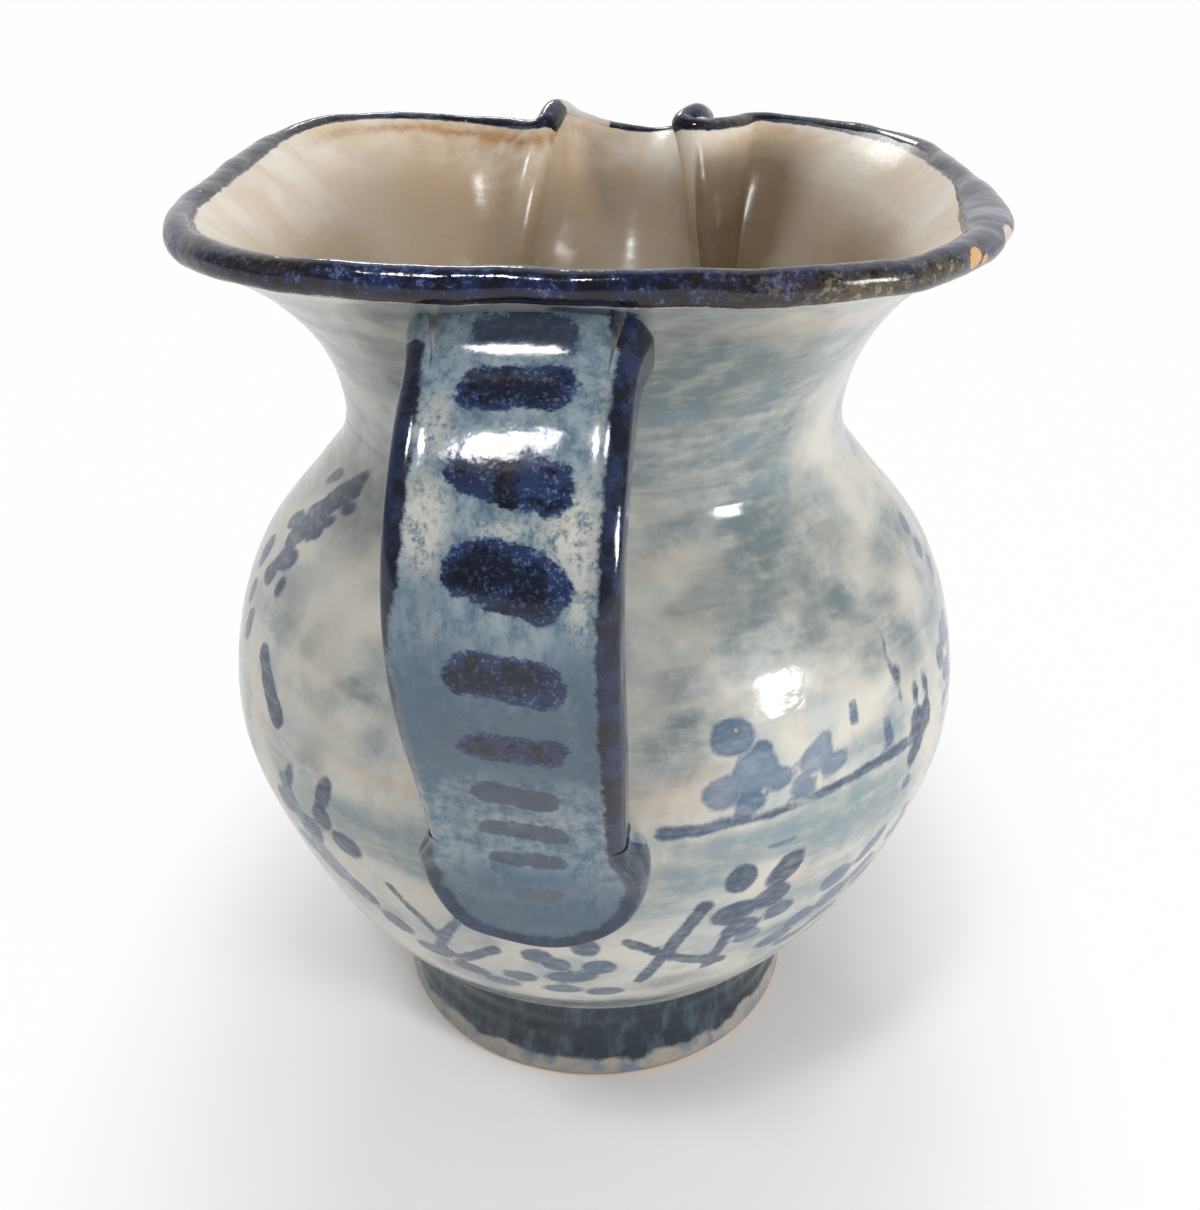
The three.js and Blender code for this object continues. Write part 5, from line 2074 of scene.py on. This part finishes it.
@dataclass(frozen=True)
class Studio:
    """A pale floor, a window to the right, a soft light above and an even room."""

    lamps: tuple[Lamp, ...] = (
        Lamp("window", 64.5, 16, 0.9, (0.20, 0.25), 4.3),
        Lamp("skylight", -27, 63, 0.9, (0.12, 0.15), 2.5, 0.09),
        Lamp("far_fill", 200, 35, 1.2, (0.3, 0.2), 1.6),
    )
    floor_reach: float = 16.0
    floor_drop: float = 0.00002
    paper: Colour = (0.84, 0.84, 0.84)
    paper_warm: Colour = (0.87, 0.87, 0.865)
    shadow_oval: tuple[float, float, float] = (1.5, 0.85, 1)
    shadow_from: float = 0.046
    shadow_to: float = 0.112
    glow_near: float = 0.04
    glow_more: float = 0.94
    room: float = 0.47
    room_dim: float = 0.18
    backdrop: float = 0.9
    room_colour: Colour = (1.0, 0.995, 0.985)
    eye_mm: tuple[float, float, float] = (18.87, -138.16, 134.3)
    eye_turn: float = 7.3
    eye_pitch: float = 28.7
    lens: float = 37.764

    def floor(self) -> None:
        """Lay the floor: a large pale sheet. The camera sees it partly as white light, least round
        the creamer, where its shadow lies, and so do the glaze's reflections, half as much."""
        n = 24
        line = np.linspace(-1, 1, n) ** 3 * self.floor_reach
        x, y = np.meshgrid(line, line)
        points = np.stack([x, y, 0 * x - self.floor_drop], -1).reshape(-1, 3)
        i = (np.arange(n - 1)[:, None] * n + np.arange(n - 1)[None, :]).ravel()
        quads = np.stack([i, i + 1, i + n + 1, i + n], -1)
        mesh = bpy.data.meshes.new("floor")
        mesh.from_pydata(points.tolist(), [], quads.tolist())
        sheet = bpy.data.objects.new("floor", mesh)
        bpy.context.scene.collection.objects.link(sheet)
        tree = Surface("floor")
        colour = tree.mix(tree.noise(400, 2), self.paper, self.paper_warm)
        shade = tree.node("ShaderNodeBsdfDiffuse", {}, {"Color": colour}).outputs[0]
        white = {"Color": (1, 1, 1), "Strength": 1.0}
        glow = tree.node("ShaderNodeEmission", {}, white).outputs[0]
        seen, mirrored = self.rays(tree)
        oval = tree.node("ShaderNodeVectorMath", {"operation": "MULTIPLY"}, {
            0: tree.spot, 1: self.shadow_oval})
        away = tree.node("ShaderNodeVectorMath", {"operation": "LENGTH"}, {0: oval.outputs[0]})
        away = Value(tree, away.outputs["Value"]).eased(self.shadow_from, self.shadow_to)
        share = self.glow_near + away * self.glow_more
        both = tree.node("ShaderNodeMixShader", {}, {
            0: seen * share + mirrored * share * 0.5, 1: shade, 2: glow})
        tree.node("ShaderNodeOutputMaterial", {}, {"Surface": both.outputs[0]})
        mesh.materials.append(tree.material)

    def rays(self, tree: Tree) -> tuple[Value, Value]:
        """Whether a ray comes from the camera, and whether it was mirrored."""
        path = tree.node("ShaderNodeLightPath", {}, {}).outputs
        return Value(tree, path["Is Camera Ray"]), Value(tree, path["Is Glossy Ray"])

    def fill(self) -> None:
        """Fill the room with an even pale light. It is white to the eye, and the glaze mirrors a
        pale backdrop behind the creamer and a dim room on the viewer's side."""
        world = bpy.data.worlds.new("room")
        bpy.context.scene.world = world
        world.use_nodes = True
        tree = Tree(world.node_tree)
        seen, mirrored = self.rays(tree)
        way = tree.node("ShaderNodeTexCoord", {}, {}).outputs["Generated"]
        parts = tree.node("ShaderNodeSeparateXYZ", {}, {0: way})
        behind = Value(tree, parts.outputs["Y"]).eased(0.1, 0.6)
        mirror = behind * (self.backdrop - self.room_dim) + (self.room_dim - self.room)
        level = self.room + seen * (1 - self.room) + mirrored * mirror
        back = tree.node("ShaderNodeBackground", {}, {"Color": self.room_colour, "Strength": level})
        tree.node("ShaderNodeOutputWorld", {}, {"Surface": back.outputs[0]})

    def camera(self) -> None:
        """Stand the camera at the photograph's angle."""
        data = bpy.data.cameras.new("camera")
        data.lens, data.sensor_width, data.clip_start, data.clip_end = self.lens, 36, 0.005, 100
        eye = bpy.data.objects.new("camera", data)
        eye.matrix_world = (Matrix.Translation(Vector(self.eye_mm) * MM)
                            @ Matrix.Rotation(radians(self.eye_turn), 4, "Z")
                            @ Matrix.Rotation(radians(90 - self.eye_pitch), 4, "X"))
        bpy.context.scene.collection.objects.link(eye)
        bpy.context.scene.camera = eye

    def set_up(self) -> None:
        """Put everything in place."""
        self.camera()
        self.floor()
        for lamp in self.lamps:
            lamp.hang()
        self.fill()
        bpy.context.scene.view_settings.view_transform = "Standard"


def main() -> None:
    """Build the creamer piece by piece, dress it and set it up in the studio."""
    logging.basicConfig(level=logging.INFO)
    lo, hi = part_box("foot_ring")
    axis = np.array([(lo[0] + hi[0]) / 2, (lo[1] + hi[1]) / 2, 0]) / MM
    Studio().set_up()
    vessel, handle = Vessel(), Handle()
    body_glaze, lip_glaze = VesselGlaze("cream glaze").dress(), LipGlaze("dark lip").dress()
    foot_glaze = FootGlaze("slate foot").dress()
    handle_glaze = HandleGlaze("pale blue handle").dress()
    made = [
        (vessel.belly(), "vessel_belly", "cream_glaze", body_glaze),
        (vessel.neck(), "vessel_neck", "cream_glaze", body_glaze),
        (Lip().build(), "rim_roll", "cobalt_rim", lip_glaze),
        (Foot().build(), "foot_ring", "slate_foot", foot_glaze),
        (handle.root(vessel), "handle_root", "pale_blue_handle", handle_glaze),
        (handle.strap(), "handle_strap", "pale_blue_handle", handle_glaze),
        (handle.edge("handle_edge_left", -1), "handle_coil_left", "cobalt_edge", handle_glaze),
        (handle.edge("handle_edge_right", 1), "handle_coil_right", "cobalt_edge", handle_glaze),
        (handle.terminal(Body()), "handle_terminal", "pale_blue_handle", handle_glaze),
    ]
    for skin, node, slot, glaze in made:
        piece = skin.build(axis)
        piece.data.materials.append(glaze)
        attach(piece, "root")
        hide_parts(node)


if __name__ == "__main__":
    main()
